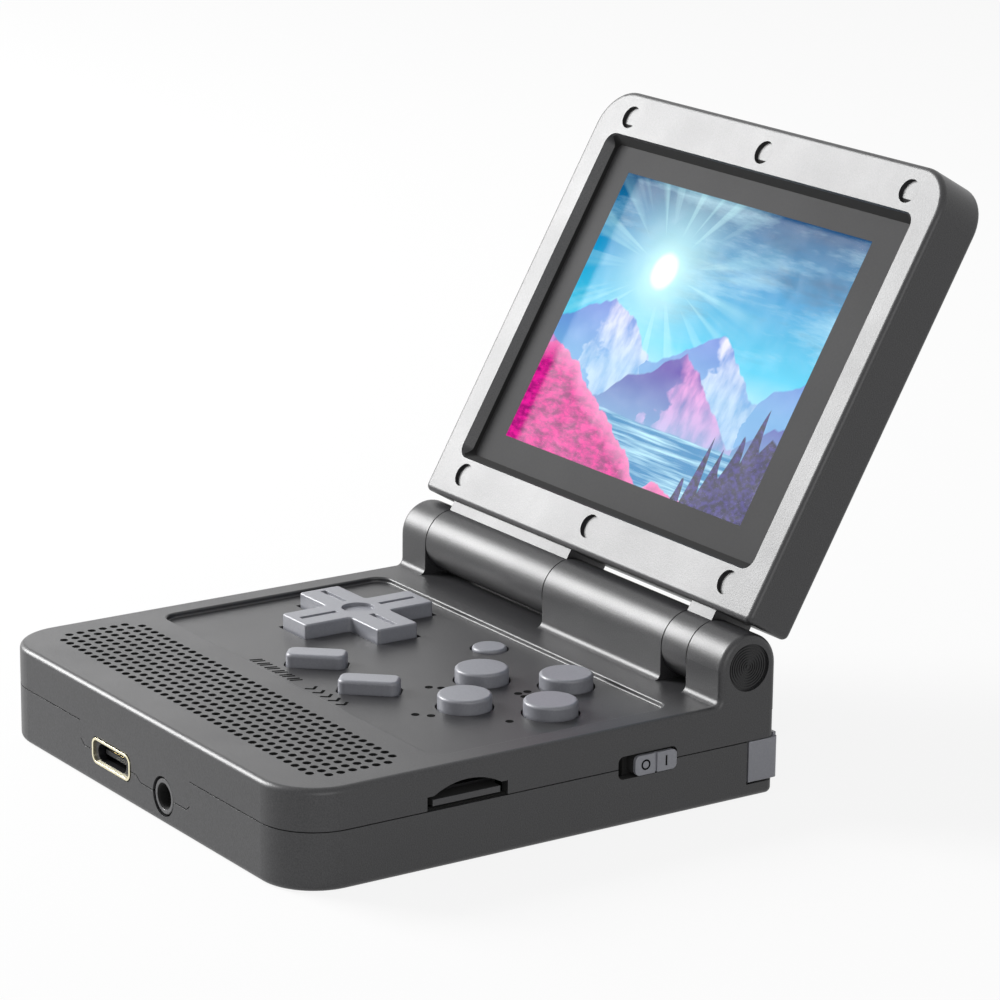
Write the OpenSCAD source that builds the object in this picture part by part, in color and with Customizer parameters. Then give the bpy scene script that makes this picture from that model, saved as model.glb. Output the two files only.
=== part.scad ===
// Clamshell handheld game console, opened, standing on its underside.
// X runs left to right, Y runs front to rear, Z runs up. The origin is the centre of the underside.
// Lid pieces are drawn lying flat: X across, Y along the lid from the hinge axis, Z towards its face.

/* [Base casing] */
// Width of the base and the lid
body_w = 84; // [82:0.5:92]
// Depth of the base, front to rear
base_d = 80.2; // [79:0.2:88]
// Height of the base up to its deck
base_h = 14.6; // [14:0.1:16]
// Height of the seam between the two base shells
seam_z = 8.6; // [8.3:0.1:8.9]
// Thickness of the casing side walls
wall_t = 1.5; // [1.2:0.1:1.7]
// Thickness of the base floor
floor_t = 1.6; // [1.4:0.1:1.8]
// Thickness of the deck
deck_t = 1.5; // [1.2:0.1:1.7]
// Plan radius of the front corners
front_corner_r = 8.5; // [6:0.5:10]
// Rounding of the outer base edges
edge_r = 0.9; // [0.5:0.1:1.1]
// Height of the hairline left open at the casing seam
seam_gap = 0.15; // [0.1:0.05:0.25]

/* [Button panel] */
// Side margin from the casing to the sunk button panel
panel_margin = 4.2; // [3.5:0.1:5]
// Front edge of the button panel
panel_front_y = -15.1; // [-16:0.1:-14.5]
// Rear edge of the button panel
panel_rear_y = 24.5; // [24:0.1:26]
// Depth of the button panel below the deck
panel_depth = 0.8; // [0.5:0.1:1]
// Corner radius of the button panel
panel_corner_r = 2.5; // [1:0.5:4]
// Rounding of the panel's rim and of its foot
panel_edge_r = 0.3; // [0.1:0.05:0.35]

/* [Speaker grille] */
// Least distance from the casing side to the middle of the outermost hole
grille_side_margin = 5; // [5:0.1:8]
// Number of rows, front to rear
grille_rows = 8; // [4:1:8]
// Distance between holes
grille_pitch = 1.88; // [1.6:0.02:1.9]
// Diameter of one hole
grille_hole_d = 1.25; // [0.7:0.05:1.3]
// Place of the front row
grille_front_y = -33.15; // [-33.5:0.05:-32.5]

/* [Buttons] */
// Length of the direction pad over two arms
pad_span = 22.6; // [20:0.2:24]
// Width of one arm
pad_arm_w = 7; // [6:0.5:8]
// Distance from the left side to the middle of the direction pad
pad_inset = 20.1; // [19.5:0.1:20.5]
// Place of the direction pad front to rear
pad_y = 10; // [9:0.5:10.5]
// Height of the direction pad over the button panel
pad_rise = 2.15; // [1.5:0.05:2.2]
// Tilt of the direction pad each way, in degrees
pad_tilt = 3.5; // [2:0.5:4]
// Diameter of the round action keys
key_d = 7.85; // [7:0.05:8.4]
// Distance from the middle of the action keys to each key
key_spread = 8.75; // [8.5:0.05:9]
// Distance from the right side to the middle of the action keys
keys_inset = 21.5; // [21:0.1:22]
// Height of the action keys over the button panel
key_rise = 2.05; // [1.4:0.05:2.1]
// Length of the two slanted option keys
option_key_l = 8.9; // [8:0.1:9.2]
// Width of the option keys
option_key_w = 4.1; // [3:0.1:4.3]
// Distance of each option key from the middle
option_key_x = 7.2; // [7:0.1:8]
// Place of the option keys front to rear
option_key_y = -6.3; // [-6.6:0.1:-6]
// Slant of the option keys, in degrees
option_slant = 49; // [45:1:60]
// Height of the option keys over the button panel
option_rise = 1.95; // [1.2:0.05:2.1]
// Diameter of the small menu key
menu_key_d = 5.2; // [4.5:0.1:6]
// Place of the menu key front to rear
menu_key_y = 19.2; // [18.5:0.1:19.8]
// Height of the menu key over the button panel
menu_rise = 0.45; // [0.4:0.05:0.8]
// Running gap round a key in its hole
key_gap = 0.3; // [0.15:0.05:0.35]

/* [Sides] */
// Middle of the charging socket across
usb_x = -8; // [-9:0.1:-7.5]
// Middle of the charging socket above the underside
usb_z = 5.25; // [5:0.05:5.35]
// Middle of the headphone jack across
jack_x = 7; // [6.5:0.1:8]
// Middle of the headphone jack above the underside
jack_z = 4.15; // [4:0.05:4.3]
// Bore of the headphone jack
jack_bore_d = 3.5; // [3.5:0.1:3.6]
// Middle of the memory card slot front to rear
card_y = -12.4; // [-13:0.1:-12]
// Width of the memory card
card_w = 11; // [10:0.5:11.5]
// Middle of the power switch opening front to rear
switch_y = 17.8; // [17:0.1:18.5]
// Length of the power slider
slider_l = 7.15; // [6.5:0.05:7.4]
// Travel of the power slider
slider_travel = 2.3; // [1.5:0.1:2.4]
// Diameter of the volume wheel
wheel_d = 12; // [11:0.5:12.5]
// Place of the volume wheel front to rear
wheel_y = -13; // [-15:0.5:-12]
// Length of a shoulder button
shoulder_l = 17.9; // [16:0.1:18.5]
// Height of a shoulder button
shoulder_h = 6.1; // [5:0.1:6.2]

/* [Hinge] */
// Radius of the hinge knuckles and barrels
barrel_r = 4.85; // [4.7:0.05:5]
// Height of the hinge axis over the deck
hinge_rise = 5; // [5:0.05:5.3]
// Width of the left knuckle
left_knuckle_w = 7.2; // [6.5:0.1:8]
// Width of the middle knuckle
middle_knuckle_w = 30; // [29.4:0.1:30.4]
// Width of the right barrel of the lid
right_barrel_w = 6.2; // [5.6:0.1:6.6]
// Width of the right knuckle
right_knuckle_w = 8.4; // [8:0.1:9]
// Gap between a knuckle and a barrel
knuckle_gap = 0.2; // [0.1:0.05:0.3]
// Radius of the steel hinge pin
pin_r = 1.5; // [1.2:0.1:1.8]
// Radial clearance of the turning hinge parts
running_gap = 0.05; // [0.03:0.01:0.08]

/* [Lid] */
// Angle from the deck to the open lid
open_angle = 120; // [100:1:150]
// Distance from the hinge axis to the near edge of the lid
lid_start = 5.6; // [5.6:0.1:6]
// Thickness of the lid
lid_t = 8.3; // [8.2:0.1:8.8]
// Height of the lid face over the hinge axis
lid_face = 3.75; // [3.7:0.05:3.8]
// Plan radius of the far lid corners
lid_corner_r = 6.5; // [4:0.5:7]
// Rounding of the lid edges
lid_edge_r = 0.8; // [0.6:0.05:1.2]

/* [Screen] */
// Width of the lid face beside the opening
side_frame_w = 4.5; // [4:0.1:5]
// Width of the lid face on the hinge side of the opening
near_frame_w = 6.8; // [6.8:0.1:7]
// Width of the lid face beyond the opening
far_frame_w = 7.2; // [7.2:0.1:10]
// Length of the opening along the lid
window_h = 56.2; // [53:0.2:60]
// Depth of the lens below the lid face
lens_depth = 2; // [1.8:0.1:2.1]
// How far the opening narrows down to the lens
window_taper = 1.2; // [1:0.1:1.4]
// Corner radius of the opening
window_corner_r = 2; // [1.9:0.1:4]
// Thickness of the lens
lens_t = 1; // [0.8:0.1:1.1]
// Width of the picture
picture_w = 60.8; // [56:0.2:61]
// Height of the picture
picture_h = 45.2; // [42:0.2:46]

/* [Hidden] */

$fn = 64;
eps = 0.01;

shell_color = [0.25, 0.25, 0.26];
key_color = [0.55, 0.57, 0.62];
steel_color = [0.75, 0.75, 0.77];
brass_color = [0.85, 0.78, 0.55];
black_color = [0.08, 0.08, 0.09];
rubber_color = [0.3, 0.3, 0.32];
board_color = [0.1, 0.35, 0.2];
flex_color = [0.75, 0.5, 0.15];

// Overall places
half_w = body_w / 2;
half_d = base_d / 2;
front_y = -half_d;
rear_y = half_d;
inner_x = half_w - wall_t;
rear_corner_r = edge_r + 0.1;
panel_z = base_h - panel_depth;
under_panel_z = panel_z - deck_t;
under_deck_z = base_h - deck_t;

// Main board
board_t = 1;
board_z = seam_z - 1.7;
board_top = board_z + board_t;
board_margin = 1;
board_front_y = front_y + wall_t + 0.6;
board_rear_y = rear_y - 6.6;
board_tail_y = rear_y - 2.6;
board_tail_x = 20;
board_notch_w = 6;
// Chips on the board: place across and front to rear, width, depth and height
chips = [
  [-19.5, -12, 11, 11, 1.2], [14.5, -12, 8, 5, 0.9], [-8.5, board_rear_y - 4, 8, 5, 1]
];

// Case screws
screw_x = half_w - 5.4;
screw_front_y = front_y + 4.5;
screw_rear_x = half_w - 10.5;
screw_rear_y = rear_y - 9.1;
screw_spots = [
  [-screw_x, screw_front_y], [screw_x, screw_front_y],
  [-screw_rear_x, screw_rear_y], [screw_rear_x, screw_rear_y]
];
screw_r = 1;
screw_head_r = 1.9;
screw_head_t = 1;
screw_sink = 0.5;
boss_r = 2.6;
screw_tip_z = board_top + 3;

// Battery bay
battery_w = 50;
battery_l = 35;
battery_y = 9.5;
cover_side_margin = 2;
cover_front_margin = 6;
cover_rear_margin = 2.5;
cover_w = battery_w + 2 * cover_side_margin;
cover_front_y = battery_y - battery_l / 2 - cover_front_margin;
cover_rear_y = battery_y + battery_l / 2 + cover_rear_margin;
cover_ridges = 5;
cover_ridge_l = 16;
cover_ridge_w = 0.8;
cover_gap = 0.2;
cover_lip_t = 0.6;
cover_screw_y = cover_front_y + 2.6;
battery_z = floor_t + 0.25;
battery_t = board_z - 0.5 - battery_z;
cover_boss_r = 2.3;

// Button panel pieces
flange_t = 0.8;
flange_w = 0.8;
flange_top = under_panel_z - 0.1;
pad_flange_t = 0.7;
pad_flange_w = 0.9;
pad_swing = (pad_span / 2 + pad_arm_w / 2 + 2 * pad_flange_w) * sin(pad_tilt);
pad_flange_top = under_panel_z - pad_swing - 0.12;
pad_pivot_z = pad_flange_top - 0.3;
pad_gap = 0.2 + (panel_z - pad_pivot_z) * sin(pad_tilt);
pad_corner_r = 0.5;
pad_cove_r = 0.6;
pad_edge_r = 0.3;
sheet_t = 0.6;
sheet_z = board_top + sheet_t;
dome_gap = 0.15;
stud_r = 1.6;
stud_foot_gap = 0.15;
pad_x = -half_w + pad_inset;
pad_dome_r = 3;
pad_dome_inset = 3.5;
keys_x = half_w - keys_inset;
key_r = key_d / 2;
key_sheet_r = 5.4;
key_dome_r = 3.2;
option_dome_r = 1.9;
dome_taper = 0.8;
keys_y = pad_y;
key_spots = [
  [keys_x + key_spread, keys_y], [keys_x, keys_y - key_spread],
  [keys_x - key_spread, keys_y], [keys_x, keys_y + key_spread]
];
pad_rest_z = panel_z + pad_rise;
option_corner_r = 1.3;
option_edge_r = 0.5;

// Ports
usb_w = 8.94;
usb_h = 3.26;
usb_plug_w = 8.34;
usb_plug_h = 2.56;
usb_ring_w = 11.1;
usb_ring_h = 3.9;
usb_ring_l = 1.9;
usb_ring_r = 1.3;
usb_ring_wall = 0.35;
usb_block_sink = 0.3;
usb_flange_z = 1.4;
usb_l = 7.3;
port_gap = 0.15;
jack_nose_r = 2.7;
jack_gap = 0.22;
jack_l = 12;
usb_seam_z = 5.1;
jack_seam_z = 4.3;

// Card slot
card_t = 0.9;
card_l = 15;
card_z = seam_z + 0.45;
card_slot_w = card_w + 2.1;
card_slot_h = 2;
card_notch_w = card_w;
card_notch_h = 1.5;
card_notch_r = (card_notch_w * card_notch_w / 4 + card_notch_h * card_notch_h) / (2 * card_notch_h);
card_inset = 0.3;
card_clear = 0.1;
socket_wall = 0.7;

// Power switch
switch_slot_l = slider_l + slider_travel + 0.65;
switch_slot_h = 3.4;
slider_h = 2.9;
slider_proud = 0.45;
switch_z = seam_z + 0.05;
slider_y = switch_y + switch_slot_l / 2 - slider_l / 2 - 0.35;
slider_corner_r = 0.8;
flange_x = inner_x - 0.2;
switch_body_x = half_w - 4.6;
switch_body_w = 3.9;
switch_body_l = 8;
actuator_w = 1.6;

// Volume wheel
wheel_t = 1.6;
wheel_proud = 0.65;
wheel_x = -half_w - wheel_proud + wheel_d / 2;
wheel_z = board_top + 0.45;
wheel_gap = 0.3;
dial_pin_r = 1.2;
dial_r = 3.5;

// Speakers
speaker_x = 18;
speaker_l = 28;
speaker_w = 12;
speaker_magnet_r = 5;
speaker_magnet_t = 1.6;
gasket_t = 0.6;
gasket_wall = 1.5;

// Shoulder buttons
shoulder_z = seam_z - shoulder_h - 0.15;
shoulder_gap = 0.3;
shoulder_proud = 0.7;
shoulder_side_l = 4.5;
shoulder_pin_r = 0.8;
shoulder_pin_x = half_w - 2.4;
shoulder_pin_y = rear_y - 2.6;
shoulder_inner_x = half_w - shoulder_l;
shoulder_side_w = 4.2;
shoulder_front_y = rear_y - shoulder_side_l;
shoulder_flange_y = rear_y - wall_t - 1.2;
shoulder_travel = 0.95;
spring_r = 1.35;

// Hinge
left_split_x = -half_w + left_knuckle_w;
right_split_x = half_w - right_knuckle_w;
middle_right_x = right_split_x - right_barrel_w;
middle_left_x = middle_right_x - middle_knuckle_w;
hinge_y = rear_y - barrel_r;
hinge_z = base_h + hinge_rise;
foot_r = 1.1;
trough_gap = 0.35;
cap_r = 3.5;
cap_t = 1;
cap_sink = 0.3;
bore_r = 3.3;
cam_r = 2.6;
spigot_r = 1.2;
knuckle_front_y = hinge_y - barrel_r;

// Lid, lying flat with its face up
window_w = body_w - 2 * side_frame_w;
lid_end = lid_start + near_frame_w + window_h + far_frame_w;
lid_back = lid_face - lid_t;
lid_seam = lid_face - lid_edge_r - 0.2;
lid_inner = lid_back + wall_t;
lid_near_r = lid_edge_r + 0.2;
window_y0 = lid_start + near_frame_w;
window_y1 = window_y0 + window_h;
lens_top = lid_face - lens_depth;
lens_overlap = 0.6;
rim_w = 1.6;
plug_x = window_w / 2 - 3.5;
plug_near_y = window_y0 - 2.6;
plug_far_y = window_y1 + 3;
plug_r = 1.85;
plug_depth = 0.5;
plug_t = 0.8;
lid_screw_spots = [
  for (y = [plug_near_y, plug_far_y]) for (x = [-plug_x, 0, plug_x]) [x, y]
];
lid_screw_r = 0.8;
lid_screw_head_r = 1.6;
lid_screw_head_t = 0.9;
lid_screw_seat = lid_face - plug_depth - plug_t - lid_screw_head_t;
picture_y = (window_y0 + window_y1) / 2;
panel_w = picture_w + 5;
panel_h = picture_h + 7.4;
lcd_top = lens_top - lens_t - 0.2;
lcd_t = 1.1;
backlight_t = 1.4;
cable_w = 8;
cable_t = 0.3;
roll_r = 1.7;
lid_cable_gap = 4.4;
base_cable_gap = 7.6;
lid_cable_x = middle_left_x - lid_cable_gap - cable_w / 2;
base_cable_x = middle_left_x + base_cable_gap + cable_w / 2;

// A flat outline with its own corner radii at the low and the high end
module rounded_outline(x0, x1, y0, y1, r_low, r_high) {
  translate([x0, y0 + r_low]) square([x1 - x0, y1 - y0 - r_low - r_high]);
  translate([x0 + r_low, y0]) square([x1 - x0 - 2 * r_low, r_low + eps]);
  translate([x0 + r_high, y1 - r_high - eps]) square([x1 - x0 - 2 * r_high, r_high + eps]);
  for (x = [x0 + r_low, x1 - r_low]) translate([x, y0 + r_low]) circle(r_low);
  for (x = [x0 + r_high, x1 - r_high]) translate([x, y1 - r_high]) circle(r_high);
}

// A section from x = a to x = b whose low and high corners are rounded at b, and at a if both is true
module edge_section(a, b, z0, z1, r_bottom, r_top, both) {
  inset = both ? 1 : 0;
  translate([a, z0 + r_bottom]) square([b - a, z1 - z0 - r_bottom - r_top]);
  if (r_top > 0) {
    translate([a + inset * r_top, z1 - r_top]) square([b - a - (1 + inset) * r_top, r_top]);
    translate([b - r_top, z1 - r_top]) circle(r_top);
    if (both) translate([a + r_top, z1 - r_top]) circle(r_top);
  }
  if (r_bottom > 0) {
    translate([a + inset * r_bottom, z0]) square([b - a - (1 + inset) * r_bottom, r_bottom]);
    translate([b - r_bottom, z0 + r_bottom]) circle(r_bottom);
    if (both) translate([a + r_bottom, z0 + r_bottom]) circle(r_bottom);
  }
}

// A slab whose plan corners and whose top and bottom edges are rounded
module rounded_slab(x0, x1, y0, y1, z0, z1, r_low, r_high, r_bottom, r_top) {
  middle = (y0 + y1) / 2;
  translate([0, y1 - r_high, 0])
    rotate([90, 0, 0])
      linear_extrude(y1 - y0 - r_low - r_high) edge_section(x0, x1, z0, z1, r_bottom, r_top, true);
  translate([x1 - r_low, 0, 0])
    rotate([90, 0, -90])
      linear_extrude(x1 - x0 - 2 * r_low) edge_section(-middle, -y0, z0, z1, r_bottom, r_top, false);
  translate([x0 + r_high, 0, 0])
    rotate([90, 0, 90])
      linear_extrude(x1 - x0 - 2 * r_high) edge_section(middle, y1, z0, z1, r_bottom, r_top, false);
  for (x = [x0 + r_low, x1 - r_low]) translate([x, y0 + r_low, 0]) post(r_low, z0, z1, r_bottom, r_top);
  for (x = [x0 + r_high, x1 - r_high]) translate([x, y1 - r_high, 0]) post(r_high, z0, z1, r_bottom, r_top);
}

// A round post with rounded ends
module post(r, z0, z1, r_bottom, r_top) {
  rotate_extrude()
    intersection() {
      edge_section(0, r, z0, z1, r_bottom, r_top, false);
      translate([0, z0]) square([r, z1 - z0]);
    }
}

// Fills an inside corner beyond an arc of radius r, its rim at the height h rounded like the edges it joins
module cove(r, edge, h) {
  difference() {
    cube([r + edge, r + edge, h]);
    rotate_extrude() {
      translate([0, -1]) square([r, h + 2]);
      difference() {
        translate([r - eps, h - edge]) square([edge + eps, edge + 1]);
        translate([r + edge, h - edge]) circle(edge);
      }
    }
  }
}

module plate(x0, x1, y0, y1, z0, z1) {
  translate([x0, y0, z0]) cube([x1 - x0, y1 - y0, z1 - z0]);
}

module rod_x(x0, x1, r) {
  translate([x0, 0, 0]) rotate([0, 90, 0]) cylinder(r = r, h = x1 - x0);
}

module tube(r_out, r_in, z0, z1) {
  translate([0, 0, z0])
    difference() {
      cylinder(r = r_out, h = z1 - z0);
      translate([0, 0, -1]) cylinder(r = r_in, h = z1 - z0 + 2);
    }
}

// A slot outline with round ends, drawn in X and Y
module stadium(l, w) {
  square([l - w, w], center = true);
  for (x = [-1, 1]) translate([x * (l - w) / 2, 0]) circle(w / 2);
}

module at_hinge() {
  translate([0, hinge_y, hinge_z]) children();
}

module on_lid() {
  at_hinge() rotate([180 - open_angle, 0, 0]) children();
}

module both_sides() {
  children();
  mirror([1, 0, 0]) children();
}

// Outline of the direction pad
module cross_outline(span, arm) {
  square([span, arm], center = true);
  square([arm, span], center = true);
}

// Section of the space over a rim rounded with the radius r
module rim_section(r) {
  difference() {
    translate([-eps, -r]) square([r + eps, r + 1]);
    translate([r, -r]) circle(r);
  }
}

// The space of the sunk button panel, with a rounded rim and foot
module panel_recess() {
  x = half_w - panel_margin;
  r = panel_corner_r;
  rounded_slab(-x, x, panel_front_y, panel_rear_y, panel_z, base_h + 1, r, r, panel_edge_r, 0);
  translate([0, 0, base_h]) {
    for (side = [-1, 1]) {
      translate([side * x, (side > 0) ? panel_rear_y - r : panel_front_y + r, 0])
        rotate([90, 0, (side > 0) ? 0 : 180])
          linear_extrude(panel_rear_y - panel_front_y - 2 * r) rim_section(panel_edge_r);
      translate([-side * (x - r), (side > 0) ? panel_rear_y : panel_front_y, 0])
        rotate([90, 0, (side > 0) ? 90 : -90])
          linear_extrude(2 * (x - r)) rim_section(panel_edge_r);
    }
    for (cx = [r - x, x - r])
      for (cy = [panel_front_y + r, panel_rear_y - r])
        translate([cx, cy, 0]) rotate_extrude() translate([r, 0]) rim_section(panel_edge_r);
  }
}

module at_option_key(side) {
  translate([side * option_key_x, option_key_y, 0]) rotate([0, 0, option_slant]) children();
}

// The front seam dips so that both ports sit across it
module port_tongue(drop) {
  left = usb_x - 9.1;
  right = jack_x + 7.4;
  polygon([
    [left, seam_z + 1], [left, usb_seam_z + 0.8 - drop], [left + 1.2, usb_seam_z - drop],
    [usb_x + 7.3, usb_seam_z - drop], [usb_x + 8.6, jack_seam_z - drop],
    [right - 0.9, jack_seam_z - drop], [right, jack_seam_z + 0.7 - drop], [right, seam_z + 1]
  ]);
}

module front_wall_slice(depth) {
  translate([0, front_y + depth, 0]) rotate([90, 0, 0]) linear_extrude(depth) children();
}

module usb_outline(inset) {
  w = usb_ring_w / 2 - inset;
  h = usb_ring_h / 2 - inset;
  rounded_outline(-w, w, -h, h, usb_ring_r - inset, usb_ring_r - inset);
}

module port_holes() {
  translate([usb_x, front_y - 1, usb_z])
    rotate([-90, 0, 0]) linear_extrude(wall_t + 3) usb_outline(-port_gap);
  translate([jack_x, front_y - 1, jack_z])
    rotate([-90, 0, 0]) cylinder(r = jack_nose_r + jack_gap, h = wall_t + 1 + eps);
}

module switch_hole() {
  translate([inner_x - 1, switch_y, switch_z])
    rotate([90, 0, 90])
      linear_extrude(wall_t + 2)
        rounded_outline(-switch_slot_l / 2, switch_slot_l / 2, -switch_slot_h / 2, switch_slot_h / 2,
          slider_corner_r + 0.1, slider_corner_r + 0.1);
}

// The thumb notch over the card slot, the top of a large circle
module card_notch() {
  slot_top = seam_z + card_slot_h;
  intersection() {
    translate([0, card_y, slot_top + card_notch_h - card_notch_r])
      rod_x(inner_x - 1, half_w + 1, card_notch_r);
    plate(inner_x - 2, half_w + 2, card_y - card_w, card_y + card_w, slot_top - eps, base_h);
  }
}

module wheel_slot() {
  translate([wheel_x, wheel_y, wheel_z - wheel_gap])
    cylinder(r = wheel_d / 2 + 0.5, h = wheel_t + 2 * wheel_gap);
}

// Space taken out of both shells for one shoulder button
module shoulder_space() {
  plate(shoulder_inner_x - 2 * shoulder_gap, half_w + 1, rear_y - wall_t - eps, rear_y + 1,
    shoulder_z - shoulder_gap, seam_z + 0.01);
  plate(half_w - shoulder_side_w - 0.6, half_w + 1, shoulder_front_y - shoulder_gap, rear_y + 1,
    shoulder_z - shoulder_gap, seam_z + 0.01);
}

module cavity(z0, z1) {
  translate([0, 0, z0])
    linear_extrude(z1 - z0)
      rounded_outline(-inner_x, inner_x, front_y + wall_t, rear_y - wall_t,
        front_corner_r - wall_t, 0.5);
}

// One hinge knuckle of the base: round over the axis, straight down to the deck
module knuckle(x0, x1, round_left, round_right) {
  r0 = round_left ? edge_r : 0;
  r1 = round_right ? edge_r : 0;
  at_hinge()
    rotate([0, 90, 0]) post(barrel_r, x0, x1, r0, r1);
  rounded_knuckle_block(x0, x1, r0, r1);
  difference() {
    plate(x0 + r0, x1 - r1, knuckle_front_y - foot_r, knuckle_front_y + 1, base_h - 1, base_h + foot_r);
    translate([x0 - 1, knuckle_front_y - foot_r, base_h + foot_r]) rod_x(0, x1 - x0 + 2, foot_r);
  }
  if (round_right) knuckle_cove(x1);
  if (round_left) mirror([1, 0, 0]) knuckle_cove(-x0);
}

module knuckle_cove(x1) {
  translate([x1 - 2 * edge_r, knuckle_front_y - foot_r, base_h + foot_r])
    rotate([0, 90, 0]) cove(foot_r, edge_r, 2 * edge_r);
}

// The block under a knuckle, its upright outer corners rounded like the base edge
module rounded_knuckle_block(x0, x1, r0, r1) {
  z0 = base_h - 2;
  translate([0, 0, z0])
    linear_extrude(hinge_z - z0) {
      translate([x0 + r0, knuckle_front_y]) square([x1 - x0 - r0 - r1, 2 * barrel_r]);
      if (r0 > 0) {
        translate([x0, knuckle_front_y + r0]) square([r0 + 1, 2 * (barrel_r - r0)]);
        for (y = [knuckle_front_y + r0, rear_y - r0]) translate([x0 + r0, y]) circle(r0);
      }
      if (r1 > 0) {
        translate([x1 - r1 - 1, knuckle_front_y + r1]) square([r1 + 1, 2 * (barrel_r - r1)]);
        for (y = [knuckle_front_y + r1, rear_y - r1]) translate([x1 - r1, y]) circle(r1);
      }
    }
}

// The slot for the ribbon cable runs from the middle knuckle down into the base
module knuckle_bores() {
  at_hinge() {
    rod_x(-half_w - 1, -half_w + cap_t + cap_sink, cap_r);
    rod_x(half_w - cap_t - cap_sink, half_w + 1, cap_r);
    rod_x(-half_w + cap_t, left_split_x + 1, cam_r);
    rod_x(right_split_x - 1, half_w - cap_t, pin_r);
    rod_x(middle_right_x - 5.6, middle_right_x + 1, pin_r);
    rod_x(middle_left_x - 1, middle_left_x + 6.6, bore_r);
    rod_x(middle_left_x + 6.5, base_cable_x + cable_w / 2 + 1, bore_r - 0.6);
  }
  plate(base_cable_x - cable_w / 2 - 0.5, base_cable_x + cable_w / 2 + 0.5,
    hinge_y - 0.6, hinge_y + 0.6, under_deck_z - 1, hinge_z);
}

module grille_holes() {
  grille_columns = 1 + floor((body_w - 2 * grille_side_margin) / grille_pitch);
  start_x = -(grille_columns - 1) * grille_pitch / 2;
  for (row = [0 : grille_rows - 1])
    for (column = [0 : grille_columns - 1])
      if (!((row == 0 || row == grille_rows - 1) && (column == 0 || column == grille_columns - 1)))
        translate([start_x + column * grille_pitch, grille_front_y + row * grille_pitch, under_panel_z - 1])
          cylinder(d = grille_hole_d, h = 5, $fn = 16);
}

module key_holes() {
  translate([0, 0, under_panel_z - 1]) {
    for (p = key_spots) translate(p) cylinder(r = key_r + key_gap, h = 4);
    translate([pad_x, pad_y, 0])
      linear_extrude(4) cross_outline(pad_span + 2 * pad_gap, pad_arm_w + 2 * pad_gap);
    for (side = [-1, 1])
      at_option_key(side) linear_extrude(4) option_outline(key_gap);
    translate([0, menu_key_y, 0]) cylinder(d = menu_key_d + 2 * key_gap, h = 4);
  }
}

module base_top_shell() {
  color(shell_color)
    difference() {
      union() {
        difference() {
          rounded_slab(-half_w, half_w, front_y, rear_y, seam_z, base_h,
            front_corner_r, rear_corner_r, 0, edge_r);
          cavity(seam_z - 1, under_panel_z);
          plate(-half_w + wall_t + 3, half_w - wall_t - 3, front_y + wall_t + 3, panel_front_y - 2,
            under_panel_z - 1, under_deck_z);
        }
        knuckle(-half_w, left_split_x, true, false);
        knuckle(middle_left_x, middle_right_x, false, false);
        knuckle(right_split_x, half_w, false, true);
        front_wall_slice(wall_t) port_tongue(0);
        for (p = screw_spots) translate(p) tube(2.2, screw_r, board_top, under_panel_z + 0.2);
        both_sides() translate([shoulder_pin_x, shoulder_pin_y, 0])
          tube(1.6, shoulder_pin_r, seam_z + 0.4, under_panel_z + 0.2);
      }
      panel_recess();
      at_hinge() for (x = [[left_split_x, middle_left_x], [middle_right_x, right_split_x]])
        rod_x(x[0], x[1], barrel_r + trough_gap);
      knuckle_bores();
      grille_holes();
      key_holes();
      port_holes();
      switch_hole();
      wheel_slot();
      plate(inner_x - 1, half_w + 1, card_y - card_slot_w / 2, card_y + card_slot_w / 2,
        seam_z - 1, seam_z + card_slot_h);
      card_notch();
    }
}

module base_bottom_shell() {
  color(shell_color)
    difference() {
      union() {
        difference() {
          rounded_slab(-half_w, half_w, front_y, rear_y, 0, seam_z - seam_gap,
            front_corner_r, rear_corner_r, edge_r, 0);
          cavity(floor_t, seam_z + 1);
        }
        seam_lip();
        for (p = screw_spots) translate(p) tube(boss_r, screw_r + 0.1, 0.1, board_z);
        translate([0, cover_screw_y, 0]) tube(cover_boss_r, screw_r, floor_t - eps, battery_z + battery_t);
        both_sides() translate([shoulder_pin_x, shoulder_pin_y, 0]) shoulder_sill();
      }
      for (p = screw_spots) translate([p[0], p[1], -1]) {
        cylinder(r = screw_head_r + 0.15, h = 1 + screw_sink + screw_head_t);
        cylinder(r = screw_r + 0.1, h = seam_z);
      }
      front_wall_slice(wall_t / 2) port_tongue(seam_gap);
      front_wall_slice(wall_t) port_tongue(0);
      port_holes();
      switch_hole();
      wheel_slot();
      both_sides() shoulder_space();
      both_sides() translate([shoulder_pin_x, shoulder_pin_y, 0.8]) cylinder(r = shoulder_pin_r, h = 3);
      plate(-cover_w / 2 - cover_gap, cover_w / 2 + cover_gap,
        cover_front_y - cover_gap, cover_rear_y + cover_gap, -1, floor_t - cover_lip_t);
      plate(-battery_w / 2 - 0.5, battery_w / 2 + 0.5,
        battery_y - battery_l / 2 - 0.5, battery_y + battery_l / 2 + 0.5, -1, floor_t + 1);
      translate([0, cover_screw_y, -1]) cylinder(r = screw_r, h = floor_t + 2);
    }
}

// The inner half of the wall stands up to meet the upper shell
module seam_lip() {
  translate([0, 0, seam_z - seam_gap - 1])
    linear_extrude(1 + seam_gap)
      difference() {
        rounded_outline(-half_w + wall_t / 2, half_w - wall_t / 2, front_y + wall_t / 2, rear_y - wall_t / 2,
          front_corner_r - wall_t / 2, 0.8);
        rounded_outline(-inner_x, inner_x, front_y + wall_t, rear_y - wall_t,
          front_corner_r - wall_t, 0.5);
      }
}

module shoulder_sill() {
  tube(1.7, shoulder_pin_r, floor_t - eps, shoulder_z - shoulder_gap);
}

module base_screws() {
  color(steel_color)
    for (p = screw_spots)
      translate([p[0], p[1], screw_sink])
        machine_screw(screw_tip_z - screw_sink, screw_r, screw_head_r, screw_head_t);
}

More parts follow.
